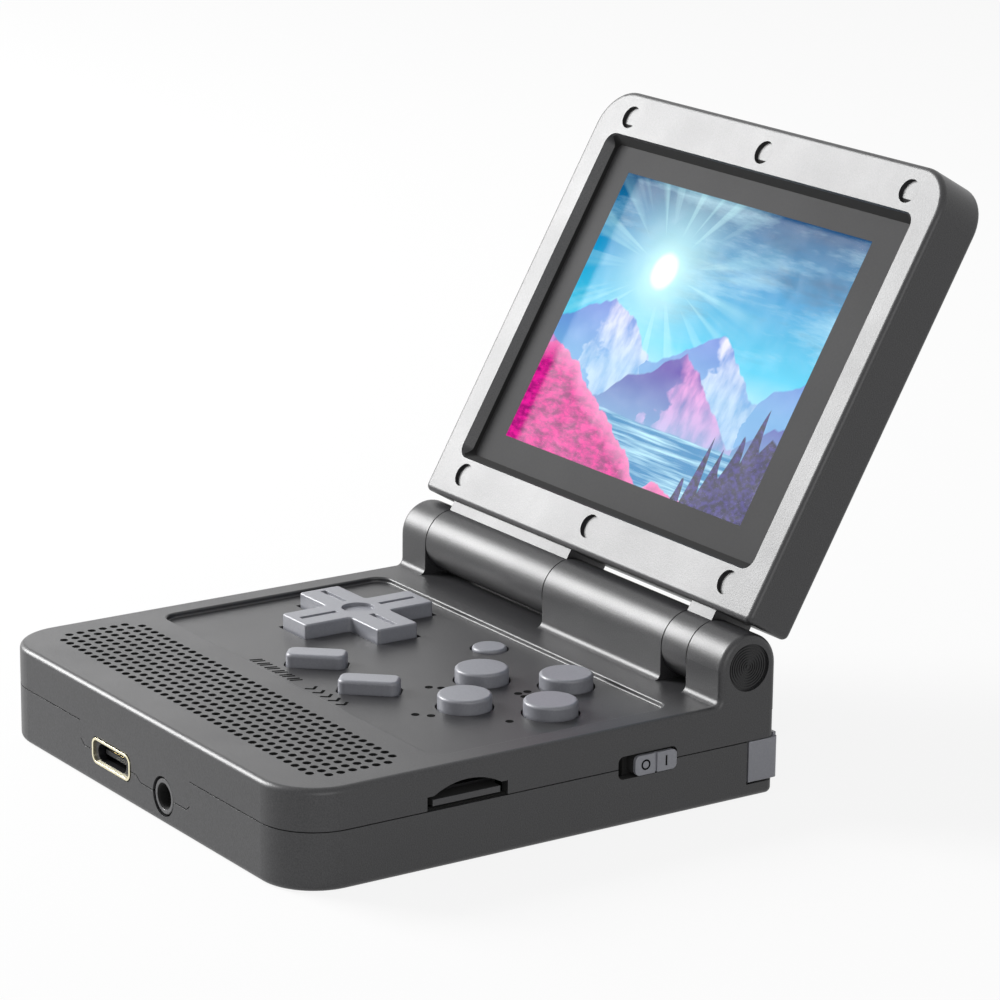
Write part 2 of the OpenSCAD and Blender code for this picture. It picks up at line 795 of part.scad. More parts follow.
// A screw with its head down and a cross recess in it
module machine_screw(l, r, head_r, head_t) {
  difference() {
    union() {
      cylinder(r = head_r, h = head_t);
      cylinder(r = r, h = l);
    }
    for (a = [0, 90]) rotate([0, 0, a]) cube([head_r * 1.2, head_r * 0.28, head_t], center = true);
  }
}

module battery_cover() {
  lip = floor_t - cover_lip_t;
  color(shell_color)
    difference() {
      plate(-cover_w / 2, cover_w / 2, cover_front_y, cover_rear_y, 0, lip);
      translate([0, cover_screw_y, -1]) cylinder(r = screw_r + 0.15, h = 4);
      translate([0, cover_screw_y, -1]) cylinder(r = screw_head_r + 0.1, h = 1 + lip - 0.3);
      for (i = [1 : cover_ridges])
        translate([-cover_ridge_l / 2, cover_rear_y - (2 * i + 4) * cover_ridge_w, -1])
          cube([cover_ridge_l, cover_ridge_w, 1.25]);
    }
}

module battery_cover_screw() {
  lip = floor_t - cover_lip_t;
  color(steel_color)
    translate([0, cover_screw_y, 0.05])
      machine_screw(4.5, screw_r, screw_head_r, lip - 0.35);
}

module battery() {
  color([0.2, 0.3, 0.5])
    translate([0, battery_y, battery_z])
      linear_extrude(battery_t)
        rounded_outline(-battery_w / 2, battery_w / 2, -battery_l / 2, battery_l / 2, 2, 2);
}

module main_board() {
  edge_x = inner_x - board_margin;
  color(board_color)
    translate([0, 0, board_z])
      difference() {
        linear_extrude(board_t)
          difference() {
            union() {
              rounded_outline(-edge_x, edge_x, board_front_y, board_rear_y, front_corner_r - wall_t - 1, 1);
              translate([-board_tail_x, board_rear_y - 1])
                square([2 * board_tail_x, board_tail_y - board_rear_y + 1]);
            }
            translate([half_w - board_notch_w, slider_y - slider_l]) square([board_notch_w, 2 * slider_l]);
          }
        for (p = screw_spots) translate([p[0], p[1], -1]) cylinder(r = screw_r + 0.3, h = board_t + 2);
      }
}

module board_chips() {
  color(black_color)
    for (c = chips)
      translate([c[0] - c[2] / 2, c[1] - c[3] / 2, board_top]) cube([c[2], c[3], c[4]]);
}

module ribbon_connector() {
  color([0.85, 0.82, 0.75])
    plate(base_cable_x - cable_w / 2 - 1, base_cable_x + cable_w / 2 + 1, hinge_y - 2, board_tail_y - 0.1,
      board_top, board_top + 1.2);
}

module usb_socket() {
  color(brass_color)
    translate([usb_x, front_y - 0.1, usb_z])
      rotate([-90, 0, 0])
        difference() {
          union() {
            linear_extrude(usb_ring_l) usb_outline(0);
            linear_extrude(usb_l) stadium(usb_w, usb_h);
          }
          translate([0, 0, -1]) linear_extrude(1 + usb_flange_z) usb_outline(usb_ring_wall);
          translate([0, 0, -1]) linear_extrude(usb_l + 0.6) stadium(usb_plug_w, usb_plug_h);
        }
}

// The black block inside the ring, with the plug's opening in it
module usb_block() {
  color(black_color)
    translate([usb_x, front_y - 0.1 + usb_block_sink, usb_z])
      rotate([-90, 0, 0])
        linear_extrude(usb_flange_z - usb_block_sink)
          difference() {
            usb_outline(usb_ring_wall);
            stadium(usb_plug_w, usb_plug_h);
          }
}

module usb_tongue() {
  tongue_z = usb_flange_z - 0.3;
  color(black_color)
    translate([usb_x, front_y - 0.1, usb_z])
      rotate([-90, 0, 0]) {
        translate([0, 0, tongue_z]) linear_extrude(usb_l - 0.4 - tongue_z) square([6.69, 0.7], center = true);
        translate([0, 0, usb_l - 1.6]) linear_extrude(1.2) stadium(usb_plug_w, usb_plug_h);
      }
}

module headphone_jack() {
  color(black_color)
    translate([jack_x, front_y + 0.15, jack_z])
      rotate([-90, 0, 0])
        difference() {
          union() {
            post(jack_nose_r, 0, wall_t + 1, 0.35, 0);
            translate([-3.2, -(board_z - jack_z), wall_t])
              cube([6.4, board_z - floor_t - 0.1, jack_l - wall_t]);
          }
          translate([0, 0, -1]) cylinder(d = jack_bore_d, h = jack_l);
          translate([0, 0, -eps]) cylinder(r1 = jack_bore_d / 2 + 0.25, r2 = jack_bore_d / 2 - eps, h = 0.3);
        }
}

module card_socket() {
  z1 = card_z + card_t + card_clear + 0.4;
  color(steel_color)
    difference() {
      plate(half_w - card_l - 2, inner_x - 1.2,
        card_y - card_w / 2 - socket_wall, card_y + card_w / 2 + socket_wall, board_top, z1);
      plate(half_w - card_l - 1, half_w, card_y - card_w / 2 - card_clear, card_y + card_w / 2 + card_clear,
        card_z - card_clear, card_z + card_t + card_clear);
    }
}

module memory_card() {
  color([0.2, 0.2, 0.21])
    difference() {
      plate(half_w - card_inset - card_l, half_w - card_inset, card_y - card_w / 2, card_y + card_w / 2,
        card_z, card_z + card_t);
      translate([half_w - card_inset - card_l, card_y - card_w / 2, card_z + card_t / 2])
        rotate([0, 0, 45]) cube([3, 3, 2], center = true);
    }
}

module power_switch() {
  color(steel_color)
    plate(switch_body_x - switch_body_w, switch_body_x, switch_y - switch_body_l / 2,
      switch_y + switch_body_l / 2, board_top, board_top + 2);
}

module switch_actuator() {
  color(black_color)
    plate(switch_body_x + 0.1, switch_body_x + 1.7, slider_y - actuator_w / 2, slider_y + actuator_w / 2,
      board_top + 0.6, board_top + 1.5);
}

// The flange stays wide of the opening, and a fork behind it takes the switch's actuator
module power_slider() {
  flange_l = slider_l + 1.6;
  color(key_color)
    difference() {
      union() {
        translate([flange_x - 0.1, slider_y, switch_z])
          rotate([90, 0, 90])
            linear_extrude(half_w + slider_proud - flange_x + 0.1)
              rounded_outline(-slider_l / 2, slider_l / 2, -slider_h / 2, slider_h / 2,
                slider_corner_r, slider_corner_r);
        plate(flange_x - 0.9, flange_x, slider_y - flange_l / 2, slider_y + flange_l / 2,
          switch_z - slider_h / 2 - 0.7, switch_z + slider_h / 2 + 0.7);
        plate(flange_x - 1.6, flange_x - 0.8, slider_y - 2, slider_y + 2, board_top + 0.2, board_top + 2);
      }
      plate(flange_x - 2, flange_x - 0.9, slider_y - actuator_w / 2 - 0.05,
        slider_y + actuator_w / 2 + 0.05, board_top + 0.1, board_top + 1.55);
      plate(half_w + slider_proud - 0.3, half_w + slider_proud + 1, slider_y - 0.2, slider_y + 0.2,
        switch_z - slider_h, switch_z + slider_h);
    }
}

module volume_dial() {
  color(black_color)
    translate([wheel_x, wheel_y, board_top]) {
      cylinder(r = dial_r, h = wheel_z - board_top - 0.1);
      cylinder(r = dial_pin_r, h = wheel_z - board_top + wheel_t + 0.2);
    }
}

module volume_wheel() {
  teeth = 40;
  color(key_color)
    translate([wheel_x, wheel_y, wheel_z])
      linear_extrude(wheel_t)
        difference() {
          circle(d = wheel_d);
          circle(r = dial_pin_r + running_gap);
          for (i = [0 : teeth - 1])
            rotate(i * 360 / teeth) translate([wheel_d / 2 + 0.1, 0]) circle(r = 0.3, $fn = 16);
        }
}

module at_speakers() {
  y = grille_front_y + (grille_rows - 1) * grille_pitch / 2;
  for (side = [-1, 1]) translate([side * speaker_x, y, 0]) children();
}

module speakers() {
  frame_z = board_top + speaker_magnet_t - 0.1;
  color(black_color)
    at_speakers() {
      translate([0, 0, board_top]) cylinder(r = speaker_magnet_r, h = speaker_magnet_t);
      translate([0, 0, frame_z])
        linear_extrude(under_deck_z - gasket_t - frame_z) stadium(speaker_l, speaker_w);
    }
}

module speaker_gaskets() {
  color(rubber_color)
    at_speakers()
      translate([0, 0, under_deck_z - gasket_t])
        linear_extrude(gasket_t - 0.1)
          difference() {
            stadium(speaker_l, speaker_w);
            stadium(speaker_l - 2 * gasket_wall, speaker_w - 2 * gasket_wall);
          }
}

// One arm pair of the direction pad, its corners and top edges rounded
module pad_bar(l, w, z0, z1) {
  rounded_slab(-l / 2, l / 2, -w / 2, w / 2, z0, z1, pad_corner_r, pad_corner_r, 0, pad_edge_r);
}

module dpad() {
  flange_z = pad_flange_top - pad_flange_t;
  color(key_color)
    translate([pad_x, pad_y, 0])
      difference() {
        union() {
          pad_bar(pad_span, pad_arm_w, flange_z, pad_rest_z);
          pad_bar(pad_arm_w, pad_span, flange_z, pad_rest_z);
          for (a = [0 : 90 : 270])
            rotate([0, 0, a])
              translate([pad_arm_w / 2 + pad_cove_r, pad_arm_w / 2 + pad_cove_r, flange_z])
                rotate([0, 0, 180]) cove(pad_cove_r, pad_edge_r, pad_rest_z - flange_z);
          translate([0, 0, flange_z])
            linear_extrude(pad_flange_t)
              cross_outline(pad_span + 2 * pad_flange_w, pad_arm_w + 2 * pad_flange_w);
        }
        pad_marks();
        translate([0, 0, pad_pivot_z]) sphere(r = stud_r + 0.1);
        translate([0, 0, flange_z - 1]) cylinder(r = stud_r + 0.4, h = 1 + pad_pivot_z - flange_z);
      }
}

// A round thumb hollow in the middle and one groove along each arm
module pad_marks() {
  dish_w = 5;
  dish_depth = 0.5;
  groove_w = 0.9;
  groove_depth = 0.5;
  groove_start = dish_w / 2 + 1.3;
  groove_end = pad_span / 2 - 1.2;
  translate([0, 0, pad_rest_z - dish_depth]) cylinder(d = dish_w, h = 2);
  for (a = [0 : 90 : 270])
    rotate([0, 0, a])
      plate(groove_start, groove_end, -groove_w / 2, groove_w / 2, pad_rest_z - groove_depth, pad_rest_z + 1);
}

// A ball on a post that ends just over the board, so that it can tilt with the pad
module dpad_pivot_stud() {
  foot_z = board_top + stud_foot_gap;
  color(rubber_color)
    translate([pad_x, pad_y, 0])
      intersection() {
        union() {
          translate([0, 0, pad_pivot_z]) sphere(r = stud_r);
          translate([0, 0, foot_z]) cylinder(r = stud_r - 0.3, h = pad_pivot_z - foot_z);
        }
        translate([0, 0, foot_z]) cylinder(r = stud_r + 1, h = base_h);
      }
}

module dome(r_base, top) {
  translate([0, 0, sheet_z - eps]) cylinder(r1 = r_base, r2 = r_base - dome_taper, h = top - sheet_z + eps);
}

// The sheet has a hole for the stud
module dpad_rubber_pad() {
  top = pad_flange_top - pad_flange_t - dome_gap;
  color(rubber_color)
    translate([pad_x, pad_y, 0]) {
      translate([0, 0, board_top])
        linear_extrude(sheet_t)
          difference() {
            cross_outline(pad_span + 4, pad_arm_w + 6);
            circle(stud_r + 0.3);
          }
      for (a = [0 : 90 : 270])
        rotate([0, 0, a]) translate([pad_span / 2 - pad_dome_inset, 0, 0]) dome(pad_dome_r, top);
    }
}

// A round key: a rounded cap over a flange that holds it under the panel
module round_key(spot, r, rise) {
  color(key_color)
    translate([spot[0], spot[1], 0]) {
      post(r, flange_top - flange_t, panel_z + rise, 0, 0.45);
      translate([0, 0, flange_top - flange_t]) cylinder(r = r + flange_w, h = flange_t);
    }
}

module right_key() { round_key(key_spots[0], key_r, key_rise); }
module front_key() { round_key(key_spots[1], key_r, key_rise); }
module left_key() { round_key(key_spots[2], key_r, key_rise); }
module rear_key() { round_key(key_spots[3], key_r, key_rise); }

module key_rubber_pad() {
  color(rubber_color) {
    translate([0, 0, board_top])
      linear_extrude(sheet_t) {
        for (p = key_spots) translate(p) circle(key_sheet_r);
        translate([keys_x, keys_y]) rotate(45) square(key_spread * 1.2, center = true);
      }
    for (p = key_spots) translate(p) dome(key_dome_r, flange_top - flange_t - dome_gap);
  }
}

// Plan of an option key, widened all round
module option_outline(extra) {
  l = option_key_l / 2 + extra;
  w = option_key_w / 2 + extra;
  rounded_outline(-l, l, -w, w, option_corner_r + extra, option_corner_r + extra);
}

// An option key: a slanted bar with rounded corners and top edges
module option_key(side) {
  l = option_key_l / 2;
  w = option_key_w / 2;
  z0 = flange_top - flange_t;
  color(key_color)
    at_option_key(side) {
      rounded_slab(-l, l, -w, w, z0, panel_z + option_rise,
        option_corner_r, option_corner_r, 0, option_edge_r);
      translate([0, 0, z0]) linear_extrude(flange_t) option_outline(flange_w);
    }
}

module select_key() { option_key(-1); }
module start_key() { option_key(1); }

module option_rubber_pad() {
  color(rubber_color) {
    plate(-option_key_x - 3, option_key_x + 3, option_key_y - 5, option_key_y + 5, board_top, sheet_z);
    for (side = [-1, 1])
      at_option_key(side) dome(option_dome_r, flange_top - flange_t - dome_gap);
  }
}

module menu_key() {
  round_key([0, menu_key_y], menu_key_d / 2, menu_rise);
}

module menu_switch() {
  z1 = flange_top - flange_t - 0.4;
  color(steel_color)
    translate([0, menu_key_y, 0]) {
      plate(-2, 2, -2, 2, board_top, z1 - 0.6);
      translate([0, 0, board_top]) cylinder(r = 1, h = z1 - board_top);
    }
}

// A shoulder button wraps a rear corner and turns on a pin near that corner
module shoulder_button() {
  z1 = shoulder_z + shoulder_h;
  face_y = rear_y + shoulder_proud;
  skin_y = rear_y - wall_t + 0.15;
  difference() {
    union() {
      translate([0, 0, shoulder_z])
        linear_extrude(shoulder_h) {
          translate([shoulder_inner_x, skin_y]) square([shoulder_l - 0.6, face_y - skin_y]);
          translate([half_w - shoulder_side_w, shoulder_front_y])
            square([shoulder_side_w, face_y - 0.6 - shoulder_front_y]);
          translate([half_w - 0.6, face_y - 0.6]) circle(0.6);
        }
      plate(half_w - shoulder_side_w, half_w - 0.6, rear_y + 0.2, face_y, z1 - 1, z1 + 0.5);
      plate(shoulder_inner_x - 1.6, shoulder_inner_x + 3, shoulder_flange_y, rear_y - wall_t - 0.2,
        shoulder_z + 1, z1 - 1);
      plate(shoulder_inner_x + 0.1, shoulder_inner_x + 2.4, shoulder_flange_y, skin_y + 0.1,
        shoulder_z + 1, z1 - 1);
    }
    translate([shoulder_pin_x, shoulder_pin_y, shoulder_z - 1])
      cylinder(r = shoulder_pin_r + running_gap, h = shoulder_h + 3);
    translate([shoulder_pin_x, shoulder_pin_y, shoulder_z + 2])
      cylinder(r = spring_r + 0.15, h = 2.2);
    plate(shoulder_pin_x - 3, shoulder_pin_x,
      shoulder_pin_y - spring_r - 0.15, shoulder_pin_y + spring_r + 0.15,
      shoulder_z + 2, shoulder_z + 4.2);
  }
}

module left_shoulder_button() {
  color(key_color) mirror([1, 0, 0]) shoulder_button();
}

module right_shoulder_button() {
  color(key_color) shoulder_button();
}

module shoulder_pins() {
  color(steel_color)
    both_sides() translate([shoulder_pin_x, shoulder_pin_y, 0.8])
      cylinder(r = shoulder_pin_r, h = seam_z + 1.8 - 0.8);
}

// A short torsion spring round each pin, one leg towards the button and one towards the shell
module shoulder_springs() {
  color(steel_color)
    both_sides()
      translate([shoulder_pin_x, shoulder_pin_y, shoulder_z + 2.2]) {
        tube(spring_r, shoulder_pin_r + 0.1, 0, 1.8);
        for (leg = [[spring_r - 0.6, 0.2], [0.2 - spring_r, 1.2]])
          translate([-4.2, leg[0], leg[1]]) cube([4.2, 0.4, 0.4]);
      }
}

module shoulder_switches() {
  x0 = shoulder_inner_x - 1.4;
  color(black_color)
    both_sides() {
      plate(x0, x0 + 5, board_rear_y - 2.6, board_rear_y + 0.8, board_z - 3.4, board_z);
      translate([x0 + 2.6, board_rear_y + 0.7, board_z - 1.7])
        rotate([-90, 0, 0]) cylinder(r = 0.9, h = shoulder_flange_y - shoulder_travel - board_rear_y - 0.75);
    }
}

module hinge_cam() {
  color(steel_color)
    at_hinge() {
      rod_x(-half_w + cap_t + cap_sink + 0.05, left_split_x, cam_r);
      rod_x(left_split_x - 1, left_split_x + 4, spigot_r);
    }
}

module hinge_click_unit() {
  x0 = left_split_x + knuckle_gap;
  color([0.6, 0.6, 0.62])
    on_lid()
      difference() {
        rod_x(x0, x0 + 10.5, bore_r);
        rod_x(x0 - 1, x0 + 4.2, spigot_r + running_gap);
      }
}

module hinge_bushing() {
  color(black_color)
    at_hinge()
      difference() {
        rod_x(middle_left_x - 4, middle_left_x + 6.5, bore_r);
        rod_x(middle_left_x - 5, middle_left_x + 7, bore_r - 0.6);
      }
}

module hinge_pin() {
  color(steel_color)
    at_hinge() rod_x(middle_right_x - 5.5, half_w - cap_t - cap_sink - 0.1, pin_r);
}

// Round end caps with fine rings turned in their faces
module hinge_caps() {
  ring_pitch = 0.4;
  ring_depth = 0.12;
  color(black_color)
    both_sides()
      at_hinge()
        difference() {
          rod_x(half_w - cap_t - cap_sink, half_w - cap_sink, cap_r);
          for (r = [ring_pitch : ring_pitch : cap_r - 0.2])
            difference() {
              rod_x(half_w - cap_sink - ring_depth, half_w, r + ring_pitch / 4);
              rod_x(half_w - cap_sink - 1, half_w + 1, r - ring_pitch / 4);
            }
        }
}

module barrel(x0, x1) {
  rod_x(x0 + knuckle_gap, x1 - knuckle_gap, barrel_r);
  plate(x0 + knuckle_gap, x1 - knuckle_gap, 0, lid_start + 1, lid_back, lid_seam);
}

module lid_back_shell() {
  color(shell_color)
    on_lid()
      difference() {
        union() {
          difference() {
            rounded_slab(-half_w, half_w, lid_start, lid_end, lid_back, lid_seam,
              lid_near_r, lid_corner_r, lid_edge_r, 0);
            translate([0, 0, lid_inner]) linear_extrude(lid_t) lid_inside();
          }
          barrel(left_split_x, middle_left_x);
          barrel(middle_right_x, right_split_x);
          for (p = lid_screw_spots) translate([p[0], p[1], lid_inner - eps])
            cylinder(r = 1.9, h = lid_screw_seat - 1.1 - lid_inner);
        }
        rod_x(left_split_x - 1, middle_left_x + 1, bore_r + running_gap);
        rod_x(middle_right_x - 1, right_split_x + 1, pin_r + running_gap);
        for (p = lid_screw_spots) translate([p[0], p[1], lid_inner - 0.6])
          cylinder(r = lid_screw_r, h = lid_t);
        plate(lid_cable_x - cable_w / 2 - 0.5, lid_cable_x + cable_w / 2 + 0.5,
          0, lid_start + wall_t + 1, -0.5, 0.5);
      }
}

module lid_inside() {
  rounded_outline(-inner_x, inner_x, lid_start + wall_t, lid_end - wall_t, 0.8, lid_corner_r - wall_t);
}

module window_outline(inset) {
  w = window_w / 2 - inset;
  r = window_corner_r - inset;
  rounded_outline(-w, w, window_y0 + inset, window_y1 - inset, r, r);
}

// The opening narrows from the lid face down to the lens
module window_cut() {
  over = 0.5;
  slope = window_taper / lens_depth;
  z0 = lens_top - over;
  z1 = lid_face + over;
  inset0 = window_taper + over * slope;
  inset1 = -over * slope;
  w = window_w / 2;
  r = window_corner_r;
  for (x = [r - w, w - r])
    for (y = [window_y0 + r, window_y1 - r])
      translate([x, y, z0]) cylinder(r1 = r - inset0, r2 = r - inset1, h = z1 - z0);
  translate([r - w, 0, 0])
    rotate([90, 0, 90])
      linear_extrude(2 * (w - r)) narrowing(window_y0, window_y1, z0, z1, inset0, inset1);
  translate([0, window_y1 - r, 0])
    rotate([90, 0, 0])
      linear_extrude(window_h - 2 * r) narrowing(-w, w, z0, z1, inset0, inset1);
}

module narrowing(a, b, z0, z1, inset0, inset1) {
  polygon([[a + inset0, z0], [b - inset0, z0], [b - inset1, z1], [a + inset1, z1]]);
}

module lid_front_frame() {
  color(shell_color)
    on_lid()
      difference() {
        union() {
          intersection() {
            rounded_slab(-half_w, half_w, lid_start, lid_end, lid_inner, lid_face,
              lid_near_r, lid_corner_r, 0, lid_edge_r);
            plate(-body_w, body_w, 0, lid_end + 1, lid_seam, lid_face + 1);
          }
          translate([0, 0, lens_top]) linear_extrude(lid_seam - lens_top + eps) window_outline(-rim_w);
          for (p = lid_screw_spots) translate([p[0], p[1], lid_screw_seat - 1])
            cylinder(r = 2.6, h = lid_seam - lid_screw_seat + 1.1);
        }
        window_cut();
        for (p = lid_screw_spots) translate([p[0], p[1], lid_screw_seat]) {
          cylinder(r = plug_r, h = 5);
          translate([0, 0, -2]) cylinder(r = lid_screw_r + 0.1, h = 3);
        }
      }
}

module lid_screws() {
  color(steel_color)
    on_lid()
      for (p = lid_screw_spots)
        translate([p[0], p[1], lid_screw_seat + lid_screw_head_t])
          mirror([0, 0, 1])
            machine_screw(lid_screw_seat + lid_screw_head_t - lid_inner + 0.4, lid_screw_r,
              lid_screw_head_r, lid_screw_head_t);
}

module lid_screw_plugs() {
  color(shell_color)
    on_lid()
      for (p = lid_screw_spots)
        translate([p[0], p[1], lid_face - plug_depth - plug_t]) cylinder(r = plug_r - 0.03, h = plug_t);
}

module screen_lens() {
  color([0.3, 0.3, 0.32, 0.6])
    on_lid()
      translate([0, 0, lens_top - lens_t]) linear_extrude(lens_t) window_outline(window_taper - lens_overlap);
}

module lcd_block(w, h, z0, z1) {
  plate(-w / 2, w / 2, picture_y - h / 2, picture_y + h / 2, z0, z1);
}

module lcd_panel() {
  color([0.2, 0.6, 0.8])
    on_lid() lcd_block(panel_w, panel_h, lcd_top - lcd_t, lcd_top);
}

module lcd_backlight() {
  color(steel_color)
    on_lid() lcd_block(panel_w + 1, panel_h + 1, lcd_top - lcd_t - backlight_t, lcd_top - lcd_t);
}

module lcd_foam_pad() {
  color(rubber_color)
    on_lid() lcd_block(panel_w - 8, panel_h - 8, lid_inner, lcd_top - lcd_t - backlight_t);
}

// The ribbon is rolled round the hinge axis where it crosses from base to lid
module cable_roll(x0, x1) {
  difference() {
    rod_x(x0, x1, roll_r);
    rod_x(x0 - 1, x1 + 1, roll_r - cable_t);
  }
}

module ribbon_cable_base() {
  color(flex_color)
    at_hinge() {
      cable_roll(middle_left_x - 2, base_cable_x + cable_w / 2);
      plate(base_cable_x - cable_w / 2, base_cable_x + cable_w / 2, -cable_t / 2, cable_t / 2,
        board_top + 1.2 - hinge_z, -roll_r + cable_t / 2);
    }
}

module ribbon_cable_lid() {
  color(flex_color)
    on_lid() {
      cable_roll(lid_cable_x - cable_w / 2, middle_left_x - 2.2);
      plate(lid_cable_x - cable_w / 2, lid_cable_x + cable_w / 2,
        roll_r - cable_t / 2, picture_y - panel_h / 2, -cable_t / 2, cable_t / 2);
    }
}

base_top_shell();
base_bottom_shell();
base_screws();
battery_cover();
battery_cover_screw();
battery();
main_board();
board_chips();
ribbon_connector();
usb_socket();
usb_block();
usb_tongue();
headphone_jack();
card_socket();
memory_card();
power_switch();
switch_actuator();
power_slider();
volume_dial();
volume_wheel();
speakers();
speaker_gaskets();
dpad();
dpad_pivot_stud();
dpad_rubber_pad();
right_key();
front_key();
left_key();
rear_key();
key_rubber_pad();
select_key();
start_key();
option_rubber_pad();
menu_key();
menu_switch();
left_shoulder_button();
right_shoulder_button();
shoulder_pins();
shoulder_springs();
shoulder_switches();
hinge_cam();
hinge_click_unit();
hinge_bushing();
hinge_pin();
hinge_caps();
lid_back_shell();
lid_front_frame();
lid_screws();
lid_screw_plugs();
screen_lens();
lcd_panel();
lcd_backlight();
lcd_foam_pad();
ribbon_cable_base();
ribbon_cable_lid();
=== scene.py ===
import math
import bpy
import bmesh
from mathutils import Matrix, Vector


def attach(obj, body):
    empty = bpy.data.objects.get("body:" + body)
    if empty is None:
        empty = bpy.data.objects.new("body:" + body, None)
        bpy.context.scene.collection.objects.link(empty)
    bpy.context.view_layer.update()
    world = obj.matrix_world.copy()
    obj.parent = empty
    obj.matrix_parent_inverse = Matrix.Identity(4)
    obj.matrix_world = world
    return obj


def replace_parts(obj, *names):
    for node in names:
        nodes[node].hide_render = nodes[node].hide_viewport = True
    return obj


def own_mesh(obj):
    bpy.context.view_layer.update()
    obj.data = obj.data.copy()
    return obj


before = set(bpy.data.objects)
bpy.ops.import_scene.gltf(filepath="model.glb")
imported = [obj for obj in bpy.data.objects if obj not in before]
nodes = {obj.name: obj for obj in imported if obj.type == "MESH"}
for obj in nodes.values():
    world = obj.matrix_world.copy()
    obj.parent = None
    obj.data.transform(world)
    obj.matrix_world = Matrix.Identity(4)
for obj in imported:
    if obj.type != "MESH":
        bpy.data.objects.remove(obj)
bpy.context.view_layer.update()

scene = bpy.context.scene
mm = 0.001

# places that several pieces share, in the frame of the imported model
panelHeight = 13.8 * mm
boardTop = 7.9 * mm
sheetTop = 8.5 * mm
frontFace = -40.1 * mm
padPlace = (-21.9 * mm, 10 * mm)
keyMiddle = (20.5 * mm, 10 * mm)
keySpread = 8.75 * mm
optionPlaces = [(-7.2 * mm, -6.3 * mm), (7.2 * mm, -6.3 * mm)]
hingeCentre = Vector((0, 35.25 * mm, 19.6 * mm))
lidTilt = math.radians(60)  # from lying flat to the open lid
lidUp = Vector((0, math.cos(lidTilt), math.sin(lidTilt)))
lidOut = Vector((0, -math.sin(lidTilt), math.cos(lidTilt)))
keySpots = {
    "right_key": (keyMiddle[0] + keySpread, keyMiddle[1]),
    "front_key": (keyMiddle[0], keyMiddle[1] - keySpread),
    "left_key": (keyMiddle[0] - keySpread, keyMiddle[1]),
    "rear_key": (keyMiddle[0], keyMiddle[1] + keySpread),
}


# small helpers for shader trees

def addNode(tree, kind, **settings):
    made = tree.nodes.new(kind)
    for name, value in settings.items():
        setattr(made, name, value)
    return made


def feed(tree, target, value):
    # a number or colour is set on the socket, anything else is linked to it
    if isinstance(value, (int, float, tuple, list)):
        target.default_value = value
    else:
        tree.links.new(value, target)


def calc(tree, operation, first, second=None, third=None):
    step = addNode(tree, "ShaderNodeMath", operation=operation)
    for socket, value in zip(step.inputs, (first, second, third)):
        if value is not None:
            feed(tree, socket, value)
    return step.outputs[0]


def remap(tree, value, low, high, newLow=0.0, newHigh=1.0, smooth=False):
    step = addNode(tree, "ShaderNodeMapRange", clamp=True)
    if smooth:
        step.interpolation_type = "SMOOTHSTEP"
    for label, given in (("Value", value), ("From Min", low), ("From Max", high),
                         ("To Min", newLow), ("To Max", newHigh)):
        feed(tree, step.inputs[label], given)
    return step.outputs["Result"]


def blendColor(tree, amount, first, second):
    # the node's colour sockets come after those for plain numbers and vectors
    step = addNode(tree, "ShaderNodeMix", data_type="RGBA")
    feed(tree, step.inputs[0], amount)
    feed(tree, step.inputs[6], first)
    feed(tree, step.inputs[7], second)
    return step.outputs[2]


def noise(tree, coords, scale, detail=2.0, roughness=0.5):
    step = addNode(tree, "ShaderNodeTexNoise")
    feed(tree, step.inputs["Vector"], coords)
    feed(tree, step.inputs["Scale"], scale)
    step.inputs["Detail"].default_value = detail
    step.inputs["Roughness"].default_value = roughness
    return step.outputs["Fac"]


def lineNoise(tree, along, scale, detail, offset):
    step = addNode(tree, "ShaderNodeTexNoise", noise_dimensions="1D")
    feed(tree, step.inputs["W"], calc(tree, "ADD", along, offset))
    step.inputs["Scale"].default_value = scale
    step.inputs["Detail"].default_value = detail
    return step.outputs["Fac"]


def objectCoords(tree):
    return addNode(tree, "ShaderNodeTexCoord").outputs["Object"]


def splitCoords(tree):
    parts = addNode(tree, "ShaderNodeSeparateXYZ")
    feed(tree, parts.inputs[0], objectCoords(tree))
    return parts.outputs


def insideBox(tree, low, high):
    # 1 within a box given in millimetres, 0 outside it
    parts = splitCoords(tree)
    within = None
    for axis in range(3):
        middle = (low[axis] + high[axis]) / 2 * mm
        half = (high[axis] - low[axis]) / 2 * mm
        near = calc(tree, "COMPARE", parts[axis], middle, half)
        within = near if within is None else calc(tree, "MULTIPLY", within, near)
    return within


def lidCoords(tree):
    # across, up the lid from the hinge axis, and out of its face, in metres
    coords = objectCoords(tree)
    found = [splitCoords(tree)[0]]
    for direction in (lidUp, lidOut):
        dot = addNode(tree, "ShaderNodeVectorMath", operation="DOT_PRODUCT")
        feed(tree, dot.inputs[0], coords)
        dot.inputs[1].default_value = direction
        found.append(calc(tree, "SUBTRACT", dot.outputs["Value"], hingeCentre.dot(direction)))
    return found


# the walls that lead down to the screen, from just below the face of the lid, which get painted shade
recessWalls = {
    "halfWidth": 36.6 * mm,
    "up": (41.5 * mm, 29 * mm),  # middle and half height, from the hinge axis
    "out": (1.9 * mm, 1.5 * mm),  # middle and half depth
}


def insideRecess(tree):
    # 1 on those walls, where painted shade goes, 0 elsewhere
    across, up, out = lidCoords(tree)
    within = calc(tree, "COMPARE", across, 0.0, recessWalls["halfWidth"])
    within = calc(tree, "MULTIPLY", within, calc(tree, "COMPARE", up, *recessWalls["up"]))
    return calc(tree, "MULTIPLY", within, calc(tree, "COMPARE", out, *recessWalls["out"]))


